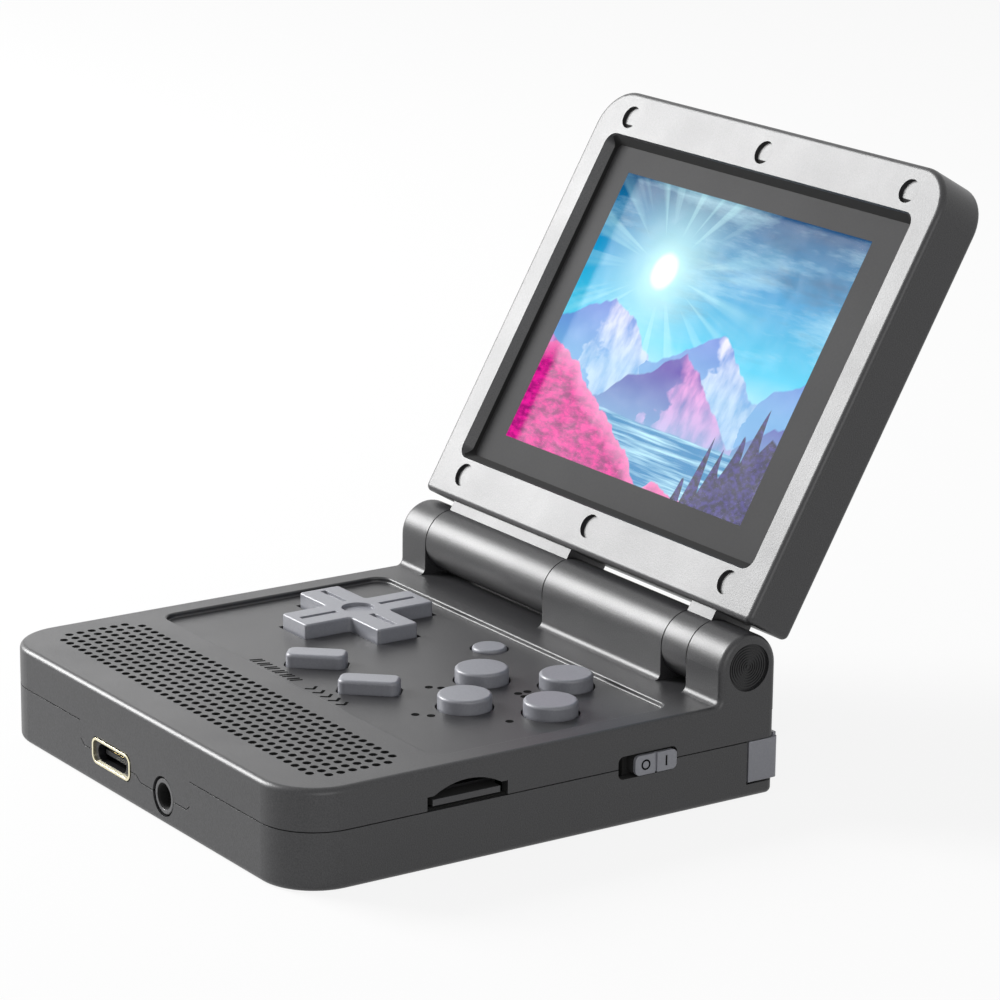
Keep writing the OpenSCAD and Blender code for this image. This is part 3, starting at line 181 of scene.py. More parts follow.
def newGroup(name, inputs, outputs):
    group = bpy.data.node_groups.new(name, "ShaderNodeTree")
    for label, default in inputs:
        made = group.interface.new_socket(label, in_out="INPUT", socket_type="NodeSocketFloat")
        made.default_value = default
    for label, kind in outputs:
        group.interface.new_socket(label, in_out="OUTPUT", socket_type=kind)
    return group, group.nodes.new("NodeGroupInput"), group.nodes.new("NodeGroupOutput")


def tint(red, green, blue):
    # a colour as a paint chart gives it, from 0 to 255
    def straight(part):
        part /= 255
        return part / 12.92 if part <= 0.04045 else ((part + 0.055) / 1.055) ** 2.4
    return (straight(red), straight(green), straight(blue), 1)


def buildMouldedGrain():
    # fine spark-eroded grain, slow patches of gloss and rounded, rubbed edges
    group, source, result = newGroup(
        "mouldedGrain",
        [("Grain Size", 0.25), ("Grain Depth", 0.5), ("Edge Round", 0.12), ("Edge Rub", 0.5)],
        [("Patches", "NodeSocketFloat"), ("Speckle", "NodeSocketFloat"), ("Edges", "NodeSocketFloat"),
         ("Normal", "NodeSocketVector")])
    coords = objectCoords(group)
    fine = noise(group, coords, calc(group, "DIVIDE", 1000.0, source.outputs["Grain Size"]), 1.5)
    slow = noise(group, coords, 55.0, 3.0, 0.6)
    rounder = addNode(group, "ShaderNodeBevel", samples=6)
    feed(group, rounder.inputs["Radius"], calc(group, "MULTIPLY", source.outputs["Edge Round"], mm))
    bump = addNode(group, "ShaderNodeBump")
    bump.inputs["Distance"].default_value = 0.05 * mm
    feed(group, bump.inputs["Strength"], source.outputs["Grain Depth"])
    feed(group, bump.inputs["Height"], fine)
    feed(group, bump.inputs["Normal"], rounder.outputs["Normal"])
    flat = addNode(group, "ShaderNodeNewGeometry")
    facing = addNode(group, "ShaderNodeVectorMath", operation="DOT_PRODUCT")
    feed(group, facing.inputs[0], flat.outputs["Normal"])
    feed(group, facing.inputs[1], rounder.outputs["Normal"])
    edge = remap(group, facing.outputs["Value"], 0.995, 0.85)
    broken = remap(group, noise(group, coords, 900.0, 3.0, 0.7), 0.35, 0.6)
    rubbed = calc(group, "MULTIPLY", calc(group, "MULTIPLY", edge, broken), source.outputs["Edge Rub"])
    feed(group, result.inputs["Edges"], rubbed)
    feed(group, result.inputs["Patches"], slow)
    feed(group, result.inputs["Speckle"], fine)
    feed(group, result.inputs["Normal"], bump.outputs["Normal"])
    return group


mouldedGrain = buildMouldedGrain()


def startMaterial(name):
    made = bpy.data.materials.new(name)
    made.use_nodes = True
    tree = made.node_tree
    return made, tree, tree.nodes["Principled BSDF"]


def mouldedFinish(name, color, metallic, roughness, grainSize, grainDepth, edgeRound, edgeRub,
                  speckle, sheen, hollows, recess):
    # hollows are boxes in millimetres inside which the piece is deep in the shade of its opening and is
    # painted near black as shade, and recess does the same painted shade for the walls around the screen
    made, tree, skin = startMaterial(name)
    grain = addNode(tree, "ShaderNodeGroup", node_tree=mouldedGrain)
    for label, value in (("Grain Size", grainSize), ("Grain Depth", grainDepth),
                         ("Edge Round", edgeRound), ("Edge Rub", edgeRub)):
        grain.inputs[label].default_value = value
    base = color + (1,)
    darker = tuple(c * (1 - speckle) for c in color) + (1,)
    lighter = tuple(min(1, c * (1 + speckle)) for c in color) + (1,)
    worn = tuple(min(1, c * 1.3 + 0.015) for c in color) + (1,)
    tone = blendColor(tree, remap(tree, grain.outputs["Speckle"], 0.3, 0.7), darker, lighter)
    tone = blendColor(tree, remap(tree, grain.outputs["Patches"], 0.3, 0.7, 0.0, 0.35), tone, base)
    tone = blendColor(tree, grain.outputs["Edges"], tone, worn)
    rough = remap(tree, grain.outputs["Patches"], 0.25, 0.75, roughness * 0.92, roughness * 1.08)
    rough = calc(tree, "SUBTRACT", rough, calc(tree, "MULTIPLY", grain.outputs["Edges"], 0.06))
    paintedShade = [insideBox(tree, low, high) for low, high in hollows]
    if recess:
        paintedShade.append(insideRecess(tree))
    # painted shade: near black and fully rough in each hollow and on the screen's recess walls
    for within in paintedShade:
        tone = blendColor(tree, within, tone, (0.004, 0.004, 0.004, 1))
        rough = calc(tree, "MAXIMUM", rough, within)
    feed(tree, skin.inputs["Base Color"], tone)
    feed(tree, skin.inputs["Roughness"], rough)
    skin.inputs["Metallic"].default_value = metallic
    skin.inputs["Specular IOR Level"].default_value = sheen
    feed(tree, skin.inputs["Normal"], grain.outputs["Normal"])
    return made


# boxes in millimetres where the openings are painted near black as shade
grilleHollow = ((-38, -34, 8), (38, -19.2, 14.57))  # the holes of the speaker grille
sliderHollow = ((38, 10, 5), (41.93, 27, 12))  # behind the casing wall at the power slider
jackHollow = ((4, -39.9, 0), (10, -20, 9))  # down the jack's bore
socketHollow = ((-13, -39.8, 2), (-3, -30, 8))  # in the charging socket
cardHollow = ((30, -20, 6), (41.5, -4, 13))  # behind the mouth of the card slot and its notch

hollowsOf = {
    "caseGraphite": [grilleHollow, sliderHollow, cardHollow],
    "sliderGrey": [sliderHollow],
    "socketGold": [socketHollow],
    "jackGrey": [jackHollow],
    "cardCharcoal": [cardHollow],
}
mouldedLook = {
    # colour, metallic, roughness, grain size in mm, grain depth, edge round in mm, edge rub, speckle, sheen
    "caseGraphite": ((0.032, 0.032, 0.034), 0.0, 0.38, 0.2, 0.34, 0.04, 0.0, 0.35, 0.52),
    "keyGrey": ((0.265, 0.27, 0.3), 0.0, 0.36, 0.35, 0.25, 0.12, 0.25, 0.05, 0.6),
    "sliderGrey": ((0.265, 0.27, 0.3), 0.0, 0.36, 0.35, 0.25, 0.12, 0.25, 0.05, 0.6),
    "trimBlack": ((0.012, 0.012, 0.013), 0.0, 0.35, 0.3, 0.2, 0.05, 0.2, 0.2, 0.3),
    "capBlack": ((0.008, 0.008, 0.009), 0.0, 0.3, 0.3, 0.15, 0.04, 0.3, 0.2, 0.35),
    "socketGold": ((0.9, 0.84, 0.6), 1.0, 0.2, 0.5, 0.1, 0.06, 0.3, 0.04, 0.5),
    "contactGold": ((0.95, 0.7, 0.28), 1.0, 0.2, 0.5, 0.1, 0.03, 0.2, 0.04, 0.5),
    "brightSteel": ((0.62, 0.62, 0.63), 1.0, 0.28, 0.4, 0.15, 0.06, 0.3, 0.05, 0.5),
    "jackGrey": ((0.085, 0.085, 0.088), 0.0, 0.3, 0.3, 0.2, 0.1, 0.3, 0.12, 0.5),
    "siliconeGrey": ((0.3, 0.3, 0.31), 0.0, 0.5, 0.5, 0.2, 0.1, 0.1, 0.12, 0.5),
    "foamBlack": ((0.03, 0.03, 0.03), 0.0, 0.9, 0.6, 1.0, 0.1, 0.1, 0.3, 0.5),
    "chipBlack": ((0.012, 0.012, 0.013), 0.0, 0.4, 0.3, 0.3, 0.04, 0.15, 0.2, 0.3),
    "connectorCream": ((0.72, 0.66, 0.52), 0.0, 0.45, 0.4, 0.15, 0.05, 0.1, 0.12, 0.5),
    "batteryBlue": ((0.05, 0.12, 0.32), 0.0, 0.3, 0.8, 0.2, 0.3, 0.2, 0.12, 0.5),
    "trayAluminium": ((0.7, 0.7, 0.71), 1.0, 0.32, 0.4, 0.15, 0.06, 0.2, 0.12, 0.5),
    "cardCharcoal": ((0.045, 0.045, 0.048), 0.0, 0.4, 0.25, 0.3, 0.06, 0.2, 0.12, 0.5),
    "markInk": ((0.004, 0.004, 0.004), 0.0, 0.9, 0.4, 0.3, 0.0, 0.0, 0.2, 0.05),
}
finishes = {}
for name, look in mouldedLook.items():
    finishes[name] = mouldedFinish(name, *look, hollowsOf.get(name, ()), name == "caseGraphite")


def tracedFinish(name, sheet, metal, width, height, offset):
    # copper runs under a coat of colour, for the board and the ribbon
    made, tree, skin = startMaterial(name)
    runs = addNode(tree, "ShaderNodeTexBrick", offset=offset, squash=1.0)
    feed(tree, runs.inputs["Vector"], objectCoords(tree))
    runs.inputs["Scale"].default_value = 1.0
    runs.inputs["Mortar Size"].default_value = 0.12 * mm  # sets how wide the runs are
    runs.inputs["Mortar Smooth"].default_value = 0.1
    runs.inputs["Brick Width"].default_value = width
    runs.inputs["Row Height"].default_value = height
    parts = noise(tree, objectCoords(tree), 260.0, 2.0)
    shown = calc(tree, "MULTIPLY", runs.outputs["Fac"], remap(tree, parts, 0.42, 0.5))
    feed(tree, skin.inputs["Base Color"], blendColor(tree, shown, sheet + (1,), metal + (1,)))
    feed(tree, skin.inputs["Roughness"], remap(tree, parts, 0.3, 0.7, 0.24, 0.34))
    return made


tracedLook = {
    # coat, copper as it shows through it, length and pitch of the runs, offset of every other row
    "boardGreen": ((0.015, 0.1, 0.045), (0.06, 0.26, 0.11), 4.2 * mm, 0.8 * mm, 0.35),
    "flexAmber": ((0.42, 0.19, 0.03), (0.62, 0.33, 0.08), 0.5 * mm, 60 * mm, 0.0),
}
for name, look in tracedLook.items():
    finishes[name] = tracedFinish(name, *look)

nodeFinish = {
    "caseGraphite": ["base_top_shell", "base_bottom_shell", "battery_cover", "lid_back_shell",
                     "lid_front_frame", "lid_screw_plugs"],
    "keyGrey": ["volume_wheel", "dpad", "dpad_pivot_stud", "right_key", "front_key", "left_key", "rear_key",
                "select_key", "start_key", "menu_key", "left_shoulder_button", "right_shoulder_button"],
    "sliderGrey": ["power_slider"],
    "trimBlack": ["volume_dial", "speakers", "hinge_bushing", "card_socket"],
    "capBlack": ["hinge_caps"],
    "jackGrey": ["headphone_jack"],
    "socketGold": ["usb_socket"],
    "brightSteel": ["base_screws", "battery_cover_screw", "power_switch", "menu_switch",
                    "shoulder_pins", "hinge_cam", "hinge_click_unit", "hinge_pin", "lid_screws"],
    "boardGreen": ["main_board"],
    "chipBlack": ["board_chips", "usb_tongue", "usb_block", "switch_actuator", "shoulder_switches"],
    "connectorCream": ["ribbon_connector"],
    "batteryBlue": ["battery"],
    "flexAmber": ["ribbon_cable_base", "ribbon_cable_lid"],
    "trayAluminium": ["lcd_backlight"],
    "cardCharcoal": ["memory_card"],
}


def dressNode(name, material):
    nodes[name].data.materials.clear()
    nodes[name].data.materials.append(material)


for finish, names in nodeFinish.items():
    for name in names:
        dressNode(name, finishes[finish])
print("finishes set on", sum(len(names) for names in nodeFinish.values()), "nodes")


# the screen: a clear lens with a printed grey border over a lit picture
screenLook = {
    "windowCentre": (-0.95 * mm, 40.8 * mm),  # across, and up the lid from the hinge axis
    "windowSize": (60.2 * mm, 45.3 * mm),
    "pictureCentre": (-1.0 * mm, 41.0 * mm),
    "pictureSize": (63.6 * mm, 47.2 * mm),  # a little larger than the window, as seen at a slant
    "litFrom": (0.4 * mm, 0.5 * mm),  # how far out of the lid the picture starts
    "printedFrom": (1.6 * mm, 1.7 * mm),  # and the border, which is only on the outer face
    "borderColor": (0.046, 0.046, 0.047),
    "borderSheen": 0.06,
    "glow": 1.0,
    "sun": (0.3, 0.7),  # shares of the picture's width and height
}


def insideWindow(tree, centre, size, soft):
    # 1 inside a rectangle on the lid, 0 outside it
    sides = []
    for value, middle, width in zip(lidCoords(tree), centre, size):
        away = calc(tree, "ABSOLUTE", calc(tree, "SUBTRACT", value, middle))
        sides.append(remap(tree, away, width / 2 - soft, width / 2 + soft, 1.0, 0.0))
    return calc(tree, "MULTIPLY", sides[0], sides[1])


def buildPictureScene():
    # a made-up evening landscape, painted from the sky forward
    group, _, result = newGroup("pictureScene", [], [("Color", "NodeSocketColor")])
    shares = []
    for value, middle, width in zip(lidCoords(group), screenLook["pictureCentre"], screenLook["pictureSize"]):
        share = calc(group, "DIVIDE", calc(group, "SUBTRACT", value, middle), width)
        shares.append(calc(group, "ADD", share, 0.5))
    u, v = shares  # from the left to the right edge, and from the bottom to the top

    def plane(stretchU, stretchV, shift=0.0):
        joined = addNode(group, "ShaderNodeCombineXYZ")
        feed(group, joined.inputs[0], calc(group, "MULTIPLY", u, stretchU))
        feed(group, joined.inputs[1], calc(group, "MULTIPLY", v, stretchV))
        joined.inputs[2].default_value = shift
        return joined.outputs[0]

    def wander(scale, detail, offset):
        return calc(group, "SUBTRACT", lineNoise(group, u, scale, detail, offset), 0.5)

    def below(line, soft=0.004):
        # 1 under a line across the picture, 0 over it
        return remap(group, calc(group, "SUBTRACT", line, v), -soft, soft)

    def skyline(base, peaks, sharp, phase, rough):
        # the height of a row of peaks
        folded = calc(group, "PINGPONG", calc(group, "ADD", calc(group, "MULTIPLY", u, sharp), phase), 0.5)
        line = calc(group, "MULTIPLY_ADD", folded, peaks * 2, base)
        return calc(group, "MULTIPLY_ADD", wander(4.0, 4.0, phase), rough, line)

    def facets(line, sharp, phase, jag):
        # which side of its spine a slope lies on, with a jagged spine
        depth = calc(group, "SUBTRACT", line, v)
        jagged = calc(group, "SUBTRACT", noise(group, plane(14, 14, phase), 1.0, 3.0), 0.5)
        moved = calc(group, "MULTIPLY_ADD", calc(group, "MULTIPLY", depth, jagged), jag, u)
        turn = calc(group, "FRACT", calc(group, "ADD", calc(group, "MULTIPLY", moved, sharp), phase))
        streak = noise(group, plane(26, 9, phase + 3), 1.0, 3.0)
        side = remap(group, turn, 0.47, 0.53)
        return calc(group, "MULTIPLY", side, remap(group, streak, 0.3, 0.62))

    def paintSky():
        sky = addNode(group, "ShaderNodeValToRGB")
        stops = [(0.3, tint(196, 240, 250)), (0.48, tint(60, 206, 242)), (0.72, tint(4, 152, 208)),
                 (1.0, tint(4, 66, 118))]
        while len(sky.color_ramp.elements) < len(stops):
            sky.color_ramp.elements.new(0.5)
        for element, (place, color) in zip(sky.color_ramp.elements, stops):
            element.position = place
            element.color = color
        feed(group, sky.inputs[0], v)
        return sky.outputs[0]

    def paintClouds(picture):
        high = remap(group, v, 0.42, 0.62)
        clouds = (
            # place, detail, roughness, thin, thick, share, colour
            (plane(2.2, 9.0, 1.7), 6.0, 0.62, 0.5, 0.72, 0.6, tint(190, 240, 255)),
            (plane(3.0, 11.0, 5.2), 5.0, 0.6, 0.52, 0.75, 0.55, tint(2, 62, 106)),
        )
        for place, detail, rough, thin, thick, share, color in clouds:
            cloud = remap(group, noise(group, place, 1.0, detail, rough), thin, thick)
            cloud = calc(group, "MULTIPLY", calc(group, "MULTIPLY", cloud, high), share)
            picture = blendColor(group, cloud, picture, color)
        return picture

    def paintSun(picture):
        # a white disc with a halo and rays
        width, height = screenLook["pictureSize"]
        sunU, sunV = screenLook["sun"]
        du = calc(group, "MULTIPLY", calc(group, "SUBTRACT", u, sunU), width / height)
        dv = calc(group, "SUBTRACT", v, sunV)
        squares = calc(group, "ADD", calc(group, "MULTIPLY", du, du), calc(group, "MULTIPLY", dv, dv))
        away = calc(group, "SQRT", squares)
        halo = calc(group, "POWER", remap(group, away, 0.04, 0.42, 1.0, 0.0), 2.0)
        rays = remap(group, lineNoise(group, calc(group, "ARCTAN2", dv, du), 5.0, 2.0, 4.0), 0.45, 0.66)
        rays = calc(group, "MULTIPLY", rays, remap(group, away, 0.02, 0.6, 0.75, 0.0))
        picture = blendColor(group, calc(group, "MAXIMUM", halo, rays), picture, tint(196, 252, 255))
        disc = remap(group, away, 0.045, 0.075, 1.0, 0.0, smooth=True)
        return blendColor(group, disc, picture, tint(255, 255, 255))

    def paintRanges(picture):
        # the far range first, each with haze at its foot
        ranges = (
            # base, peaks, sharpness, phase, roughness, jag, shade, light, haze low, haze high
            (0.40, 0.17, 2.3, 0.1, 0.22, 2.6, (96, 128, 216), (240, 236, 255), 0.36, 0.56),
            (0.25, 0.2, 1.7, 0.62, 0.2, 3.2, (84, 58, 170), (238, 150, 222), 0.2, 0.4),
        )
        for base, peaks, sharp, phase, rough, jag, shade, light, low, high in ranges:
            line = skyline(base, peaks, sharp, phase, rough)
            slope = blendColor(group, facets(line, sharp, phase, jag), tint(*shade), tint(*light))
            slope = blendColor(group, remap(group, v, low, high, 0.55, 0.0), slope, tint(128, 206, 238))
            picture = blendColor(group, below(line), picture, slope)
        return picture

    def paintLake(picture):
        ripples = remap(group, noise(group, plane(5.0, 70.0, 2.0), 1.0, 3.0), 0.42, 0.7)
        lake = blendColor(group, ripples, tint(30, 134, 190), tint(190, 240, 255))
        shore = calc(group, "MULTIPLY_ADD", wander(5.0, 2.0, 0.0), 0.03, 0.21)
        return blendColor(group, below(shore, 0.003), picture, lake)

    def paintHill(picture):
        # a bright meadow on the left, lit along its rim
        fall = calc(group, "MULTIPLY_ADD", u, -0.5, 0.36)
        hill = calc(group, "MULTIPLY_ADD", wander(3.0, 5.0, 7.0), 0.34, fall)
        grass = noise(group, plane(24, 40, 8.0), 1.0, 4.0, 0.6)
        field = blendColor(group, remap(group, grass, 0.38, 0.6), tint(150, 12, 112), tint(240, 30, 158))
        rim = remap(group, calc(group, "SUBTRACT", hill, v), 0.0, 0.07, 0.75, 0.0)
        field = blendColor(group, rim, field, tint(255, 150, 206))
        return blendColor(group, below(hill, 0.003), picture, field)

    def paintTrees(picture):
        bank = remap(group, u, 0.56, 1.0, -0.12, 0.3, smooth=True)
        spikes = calc(group, "PINGPONG", calc(group, "MULTIPLY", u, 21.0), 0.5)
        sizes = remap(group, lineNoise(group, u, 9.0, 2.0, 2.0), 0.35, 0.65, 0.06, 0.44)
        crowns = calc(group, "MULTIPLY", spikes, sizes)
        trees = calc(group, "MULTIPLY_ADD", crowns, remap(group, u, 0.55, 0.7), bank)
        leaves = noise(group, plane(60, 60, 3.0), 1.0, 3.0)
        wood = blendColor(group, remap(group, leaves, 0.4, 0.65), tint(20, 20, 64), tint(62, 52, 138))
        return blendColor(group, below(trees), picture, wood)

    picture = paintSky()
    for paint in (paintClouds, paintSun, paintRanges, paintLake, paintHill, paintTrees):
        picture = paint(picture)
    feed(group, result.inputs["Color"], picture)
    return group


def makePicturePanel():
    made, tree, skin = startMaterial("litPicture")
    art = addNode(tree, "ShaderNodeGroup", node_tree=buildPictureScene())
    shown = insideWindow(tree, screenLook["pictureCentre"], screenLook["pictureSize"], 0.02 * mm)
    shown = calc(tree, "MULTIPLY", shown, remap(tree, lidCoords(tree)[2], *screenLook["litFrom"]))
    skin.inputs["Base Color"].default_value = (0.01, 0.01, 0.012, 1)
    skin.inputs["Specular IOR Level"].default_value = 0.1
    slow = noise(tree, objectCoords(tree), 300.0)
    feed(tree, skin.inputs["Roughness"], remap(tree, slow, 0.3, 0.7, 0.4, 0.5))
    feed(tree, skin.inputs["Emission Color"], blendColor(tree, shown, (0, 0, 0, 1), art.outputs["Color"]))
    skin.inputs["Emission Strength"].default_value = screenLook["glow"]
    return made


def makeLens():
    made, tree, skin = startMaterial("lensBorder")
    window = insideWindow(tree, screenLook["windowCentre"], screenLook["windowSize"], 0.05 * mm)
    specks = noise(tree, objectCoords(tree), 2600.0, 2.0)
    slow = noise(tree, objectCoords(tree), 30.0, 3.0)
    dark = tuple(c * 0.9 for c in screenLook["borderColor"]) + (1,)
    pale = tuple(c * 1.1 for c in screenLook["borderColor"]) + (1,)
    tone = blendColor(tree, remap(tree, specks, 0.3, 0.7, 0.3, 0.7), dark, pale)
    feed(tree, skin.inputs["Base Color"], tone)
    feed(tree, skin.inputs["Roughness"], remap(tree, slow, 0.3, 0.7, 0.5, 0.58))
    skin.inputs["Specular IOR Level"].default_value = screenLook["borderSheen"]
    printed = remap(tree, lidCoords(tree)[2], *screenLook["printedFrom"])
    printed = calc(tree, "MULTIPLY", printed, calc(tree, "SUBTRACT", 1.0, window))
    feed(tree, skin.inputs["Alpha"], remap(tree, printed, 0.0, 1.0, 0.02, 1.0))
    return made


dressNode("lcd_panel", makePicturePanel())
dressNode("screen_lens", makeLens())
print("screen made")


# helpers for new pieces

def placePiece(shape, name, body, material):
    bmesh.ops.recalc_face_normals(shape, faces=shape.faces[:])
    mesh = bpy.data.meshes.new(name)
    shape.to_mesh(mesh)
    shape.free()
    mesh.materials.append(material)
    piece = bpy.data.objects.new(name, mesh)
    scene.collection.objects.link(piece)
    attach(piece, body)
    return piece


def addDisc(shape, centre, radius, height, sides=20):
    # a thin round mark that stands on the height of its centre
    place = Matrix.Translation(Vector(centre) + Vector((0, 0, height / 2)))
    bmesh.ops.create_cone(shape, cap_ends=True, segments=sides, radius1=radius, radius2=radius,
                          depth=height, matrix=place)


def addBar(shape, centre, size, turn=0.0):
    # a block of a given size, turned about the upright through its middle
    turned = Matrix.Rotation(turn, 4, "Z") @ Matrix.Diagonal(Vector(size)).to_4x4()
    bmesh.ops.create_cube(shape, size=1.0, matrix=Matrix.Translation(Vector(centre)) @ turned)


# plain printed marks beside the keys
markLook = {
    "ink": 0.02 * mm,  # thickness of the print
    "before": 7.0 * mm,  # from a key's middle to its mark
    "dot": 0.6 * mm,
    "dotPitch": 1.6 * mm,
    "strokeLine": -12.7 * mm,  # where the rows of strokes stand, from front to back
    "strokePitch": 2.1 * mm,
}
dotPatterns = {
    "right_key": [(0, 0)],
    "front_key": [(-0.5, -0.5), (0.5, 0.5)],
    "left_key": [(-0.8, -0.8), (0, 0), (0.8, 0.8)],
    "rear_key": [(-0.5, -0.5), (-0.5, 0.5), (0.5, -0.5), (0.5, 0.5)],
}
strokeRows = {
    # middle, number of pairs, width and length of a stroke, turns in degrees, way from the pair's middle
    "select_mark": (-8.1 * mm, 6, (0.42 * mm, 1.9 * mm), (-20, -20), (0.4 * mm, 0)),
    "start_mark": (6.2 * mm, 5, (0.46 * mm, 1.4 * mm), (-42, 42), (0, 0.448 * mm)),
}


def makeDots(name, key, spots):
    keyX, keyY = keySpots[key]
    pitch = markLook["dotPitch"]
    shape = bmesh.new()
    for dotX, dotY in spots:
        place = (keyX + dotX * pitch, keyY - markLook["before"] + dotY * pitch, panelHeight)
        addDisc(shape, place, markLook["dot"], markLook["ink"])
    placePiece(shape, name, "base", finishes["markInk"])


def makeStrokeRow(name, middle, count, size, turns, way):
    # pairs of strokes, side by side or one before the other as an arrowhead
    shape = bmesh.new()
    for pair in range(count):
        x = middle + (pair - (count - 1) / 2) * markLook["strokePitch"]
        for side, turn in zip((-1, 1), turns):
            place = (x + side * way[0], markLook["strokeLine"] + side * way[1],
                     panelHeight + markLook["ink"] / 2)
            addBar(shape, place, size + (markLook["ink"],), math.radians(turn))
    placePiece(shape, name, "base", finishes["markInk"])


for key, spots in dotPatterns.items():
    makeDots(key.replace("key", "dots"), key, spots)
for name, row in strokeRows.items():
    makeStrokeRow(name, *row)


# a ring and a bar on the two halves of the power slider
sliderMarkLook = {
    "face": 42.45 * mm,
    "height": 8.65 * mm,
    "ringPlace": 17.15 * mm,
    "barPlace": 20.7 * mm,
    "ringOuter": 0.78 * mm,
    "ringInner": 0.52 * mm,
    "barSize": (0.28 * mm, 1.5 * mm),
    "ink": 0.02 * mm,
}


def makeSliderMarks():
    look = sliderMarkLook
    place = Vector((look["face"], look["ringPlace"], look["height"]))
    turned = Matrix.Translation(place) @ Matrix.Rotation(math.radians(90), 4, "Y")
    shape = bmesh.new()
    start = shape.verts.new((look["ringInner"], 0, 0))
    end = shape.verts.new((look["ringOuter"], 0, 0))
    edge = shape.edges.new((start, end))
    bmesh.ops.spin(shape, geom=[start, end, edge], cent=(0, 0, 0), axis=(0, 0, 1), angle=math.tau,
                   steps=32, use_merge=True)
    bmesh.ops.remove_doubles(shape, verts=shape.verts[:], dist=1e-7)
    raised = bmesh.ops.extrude_face_region(shape, geom=shape.faces[:])
    moved = [part for part in raised["geom"] if isinstance(part, bmesh.types.BMVert)]
    bmesh.ops.translate(shape, verts=moved, vec=(0, 0, look["ink"]))
    bmesh.ops.transform(shape, matrix=turned, verts=shape.verts[:])
    addBar(shape, (look["face"] + look["ink"] / 2, look["barPlace"], look["height"]),
           (look["ink"], look["barSize"][0], look["barSize"][1]))
    placePiece(shape, "slider_marks", "power_slider", finishes["markInk"])


makeSliderMarks()


# gilt contacts on the tongue of the charging socket
contactLook = {
    "centre": (-8 * mm, 5.25 * mm),
    "count": 12,
    "pitch": 0.5 * mm,
    "size": (0.26 * mm, 3.2 * mm, 0.04 * mm),
    "start": 1.25 * mm,  # behind the mouth of the socket
    "tongue": 0.7 * mm,
}


def makeContacts():
    look = contactLook
    shape = bmesh.new()
    middleX, middleZ = look["centre"]
    for side in (-1, 1):
        for count in range(look["count"]):
            x = middleX + (count - (look["count"] - 1) / 2) * look["pitch"]
            y = frontFace + look["start"] + look["size"][1] / 2
            z = middleZ + side * (look["tongue"] + look["size"][2]) / 2
            addBar(shape, (x, y, z), look["size"])
    placePiece(shape, "socket_contacts", "base", finishes["contactGold"])


makeContacts()
print("marks and contacts made")


# silicone sheets with domes under the keys
sheetLook = {
    "padArm": (13.3 * mm, 6.5 * mm),  # half the length of the cross, and half the width of its arms
    "studHole": 1.9 * mm,
    "keyLobe": 5.4 * mm,
    "lobeReach": math.radians(145),  # how far a lobe runs round to either side
    "optionLow": (-10.2 * mm, -11.3 * mm),
    "optionHigh": (10.2 * mm, -1.3 * mm),
}
domeLook = {
    "keyDome": (3.2 * mm, 2.4 * mm, 11.25 * mm),  # radius at the foot, radius at the top, place of the top
    "padDome": (3.0 * mm, 2.2 * mm, 10.31 * mm),
    "optionDome": (1.9 * mm, 1.1 * mm, 11.25 * mm),
    "padReach": 7.8 * mm,  # from the pivot of the direction pad to its domes
    "keyKept": 0.64,  # share of a dome's height left when its key is down
    "padKept": 0.66,
    "rounding": 0.25 * mm,
    "skirt": (0.25 * mm, 0.5 * mm),  # how far the foot draws in, and over what height
    "sunk": 0.02 * mm,  # into the sheet
}


def addOutline(shape, points, low, high, hole=None):
    # a flat sheet from its outline, with a round hole if one is given
    loops = [points] if hole is None else [points, hole]
    for loop in loops:
        verts = [shape.verts.new((x, y, low)) for x, y in loop]
        for count, vert in enumerate(verts):
            shape.edges.new((vert, verts[(count + 1) % len(verts)]))
    bmesh.ops.triangle_fill(shape, edges=shape.edges[:], use_beauty=True)
    raised = bmesh.ops.extrude_face_region(shape, geom=shape.faces[:])
    moved = [part for part in raised["geom"] if isinstance(part, bmesh.types.BMVert)]
    bmesh.ops.translate(shape, verts=moved, vec=(0, 0, high - low))


def circlePoints(centre, radius, steps, start=0.0, sweep=math.tau):
    full = sweep >= math.tau
    count = steps if full else steps + 1
    return [(centre[0] + radius * math.cos(start + sweep * step / steps),
             centre[1] + radius * math.sin(start + sweep * step / steps)) for step in range(count)]


def makeSheet(name, outline, node, hole=None):
    shape = bmesh.new()
    addOutline(shape, outline, boardTop, sheetTop, hole)
    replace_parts(placePiece(shape, name, "base", finishes["siliconeGrey"]), node)


def makeSheets():
    padX, padY = padPlace
    long, short = sheetLook["padArm"]
    cross = []
    for c, s in ((1, 0), (0, 1), (-1, 0), (0, -1)):
        for x, y in ((long, -short), (long, short), (short, short)):
            cross.append((padX + x * c - y * s, padY + x * s + y * c))
    makeSheet("dpad_sheet", cross, "dpad_rubber_pad", circlePoints(padPlace, sheetLook["studHole"], 24))

    # four round lobes that run into each other
    lobes = []
    reach = sheetLook["lobeReach"]
    for quarter in range(4):
        turn = quarter * math.pi / 2
        centre = (keyMiddle[0] + keySpread * math.cos(turn), keyMiddle[1] + keySpread * math.sin(turn))
        lobes += circlePoints(centre, sheetLook["keyLobe"], 24, turn - reach, 2 * reach)
    makeSheet("key_sheet", lobes, "key_rubber_pad")

    lowX, lowY = sheetLook["optionLow"]
    highX, highY = sheetLook["optionHigh"]
    corners = [(lowX, lowY), (highX, lowY), (highX, highY), (lowX, highY)]
    makeSheet("option_sheet", corners, "option_rubber_pad")


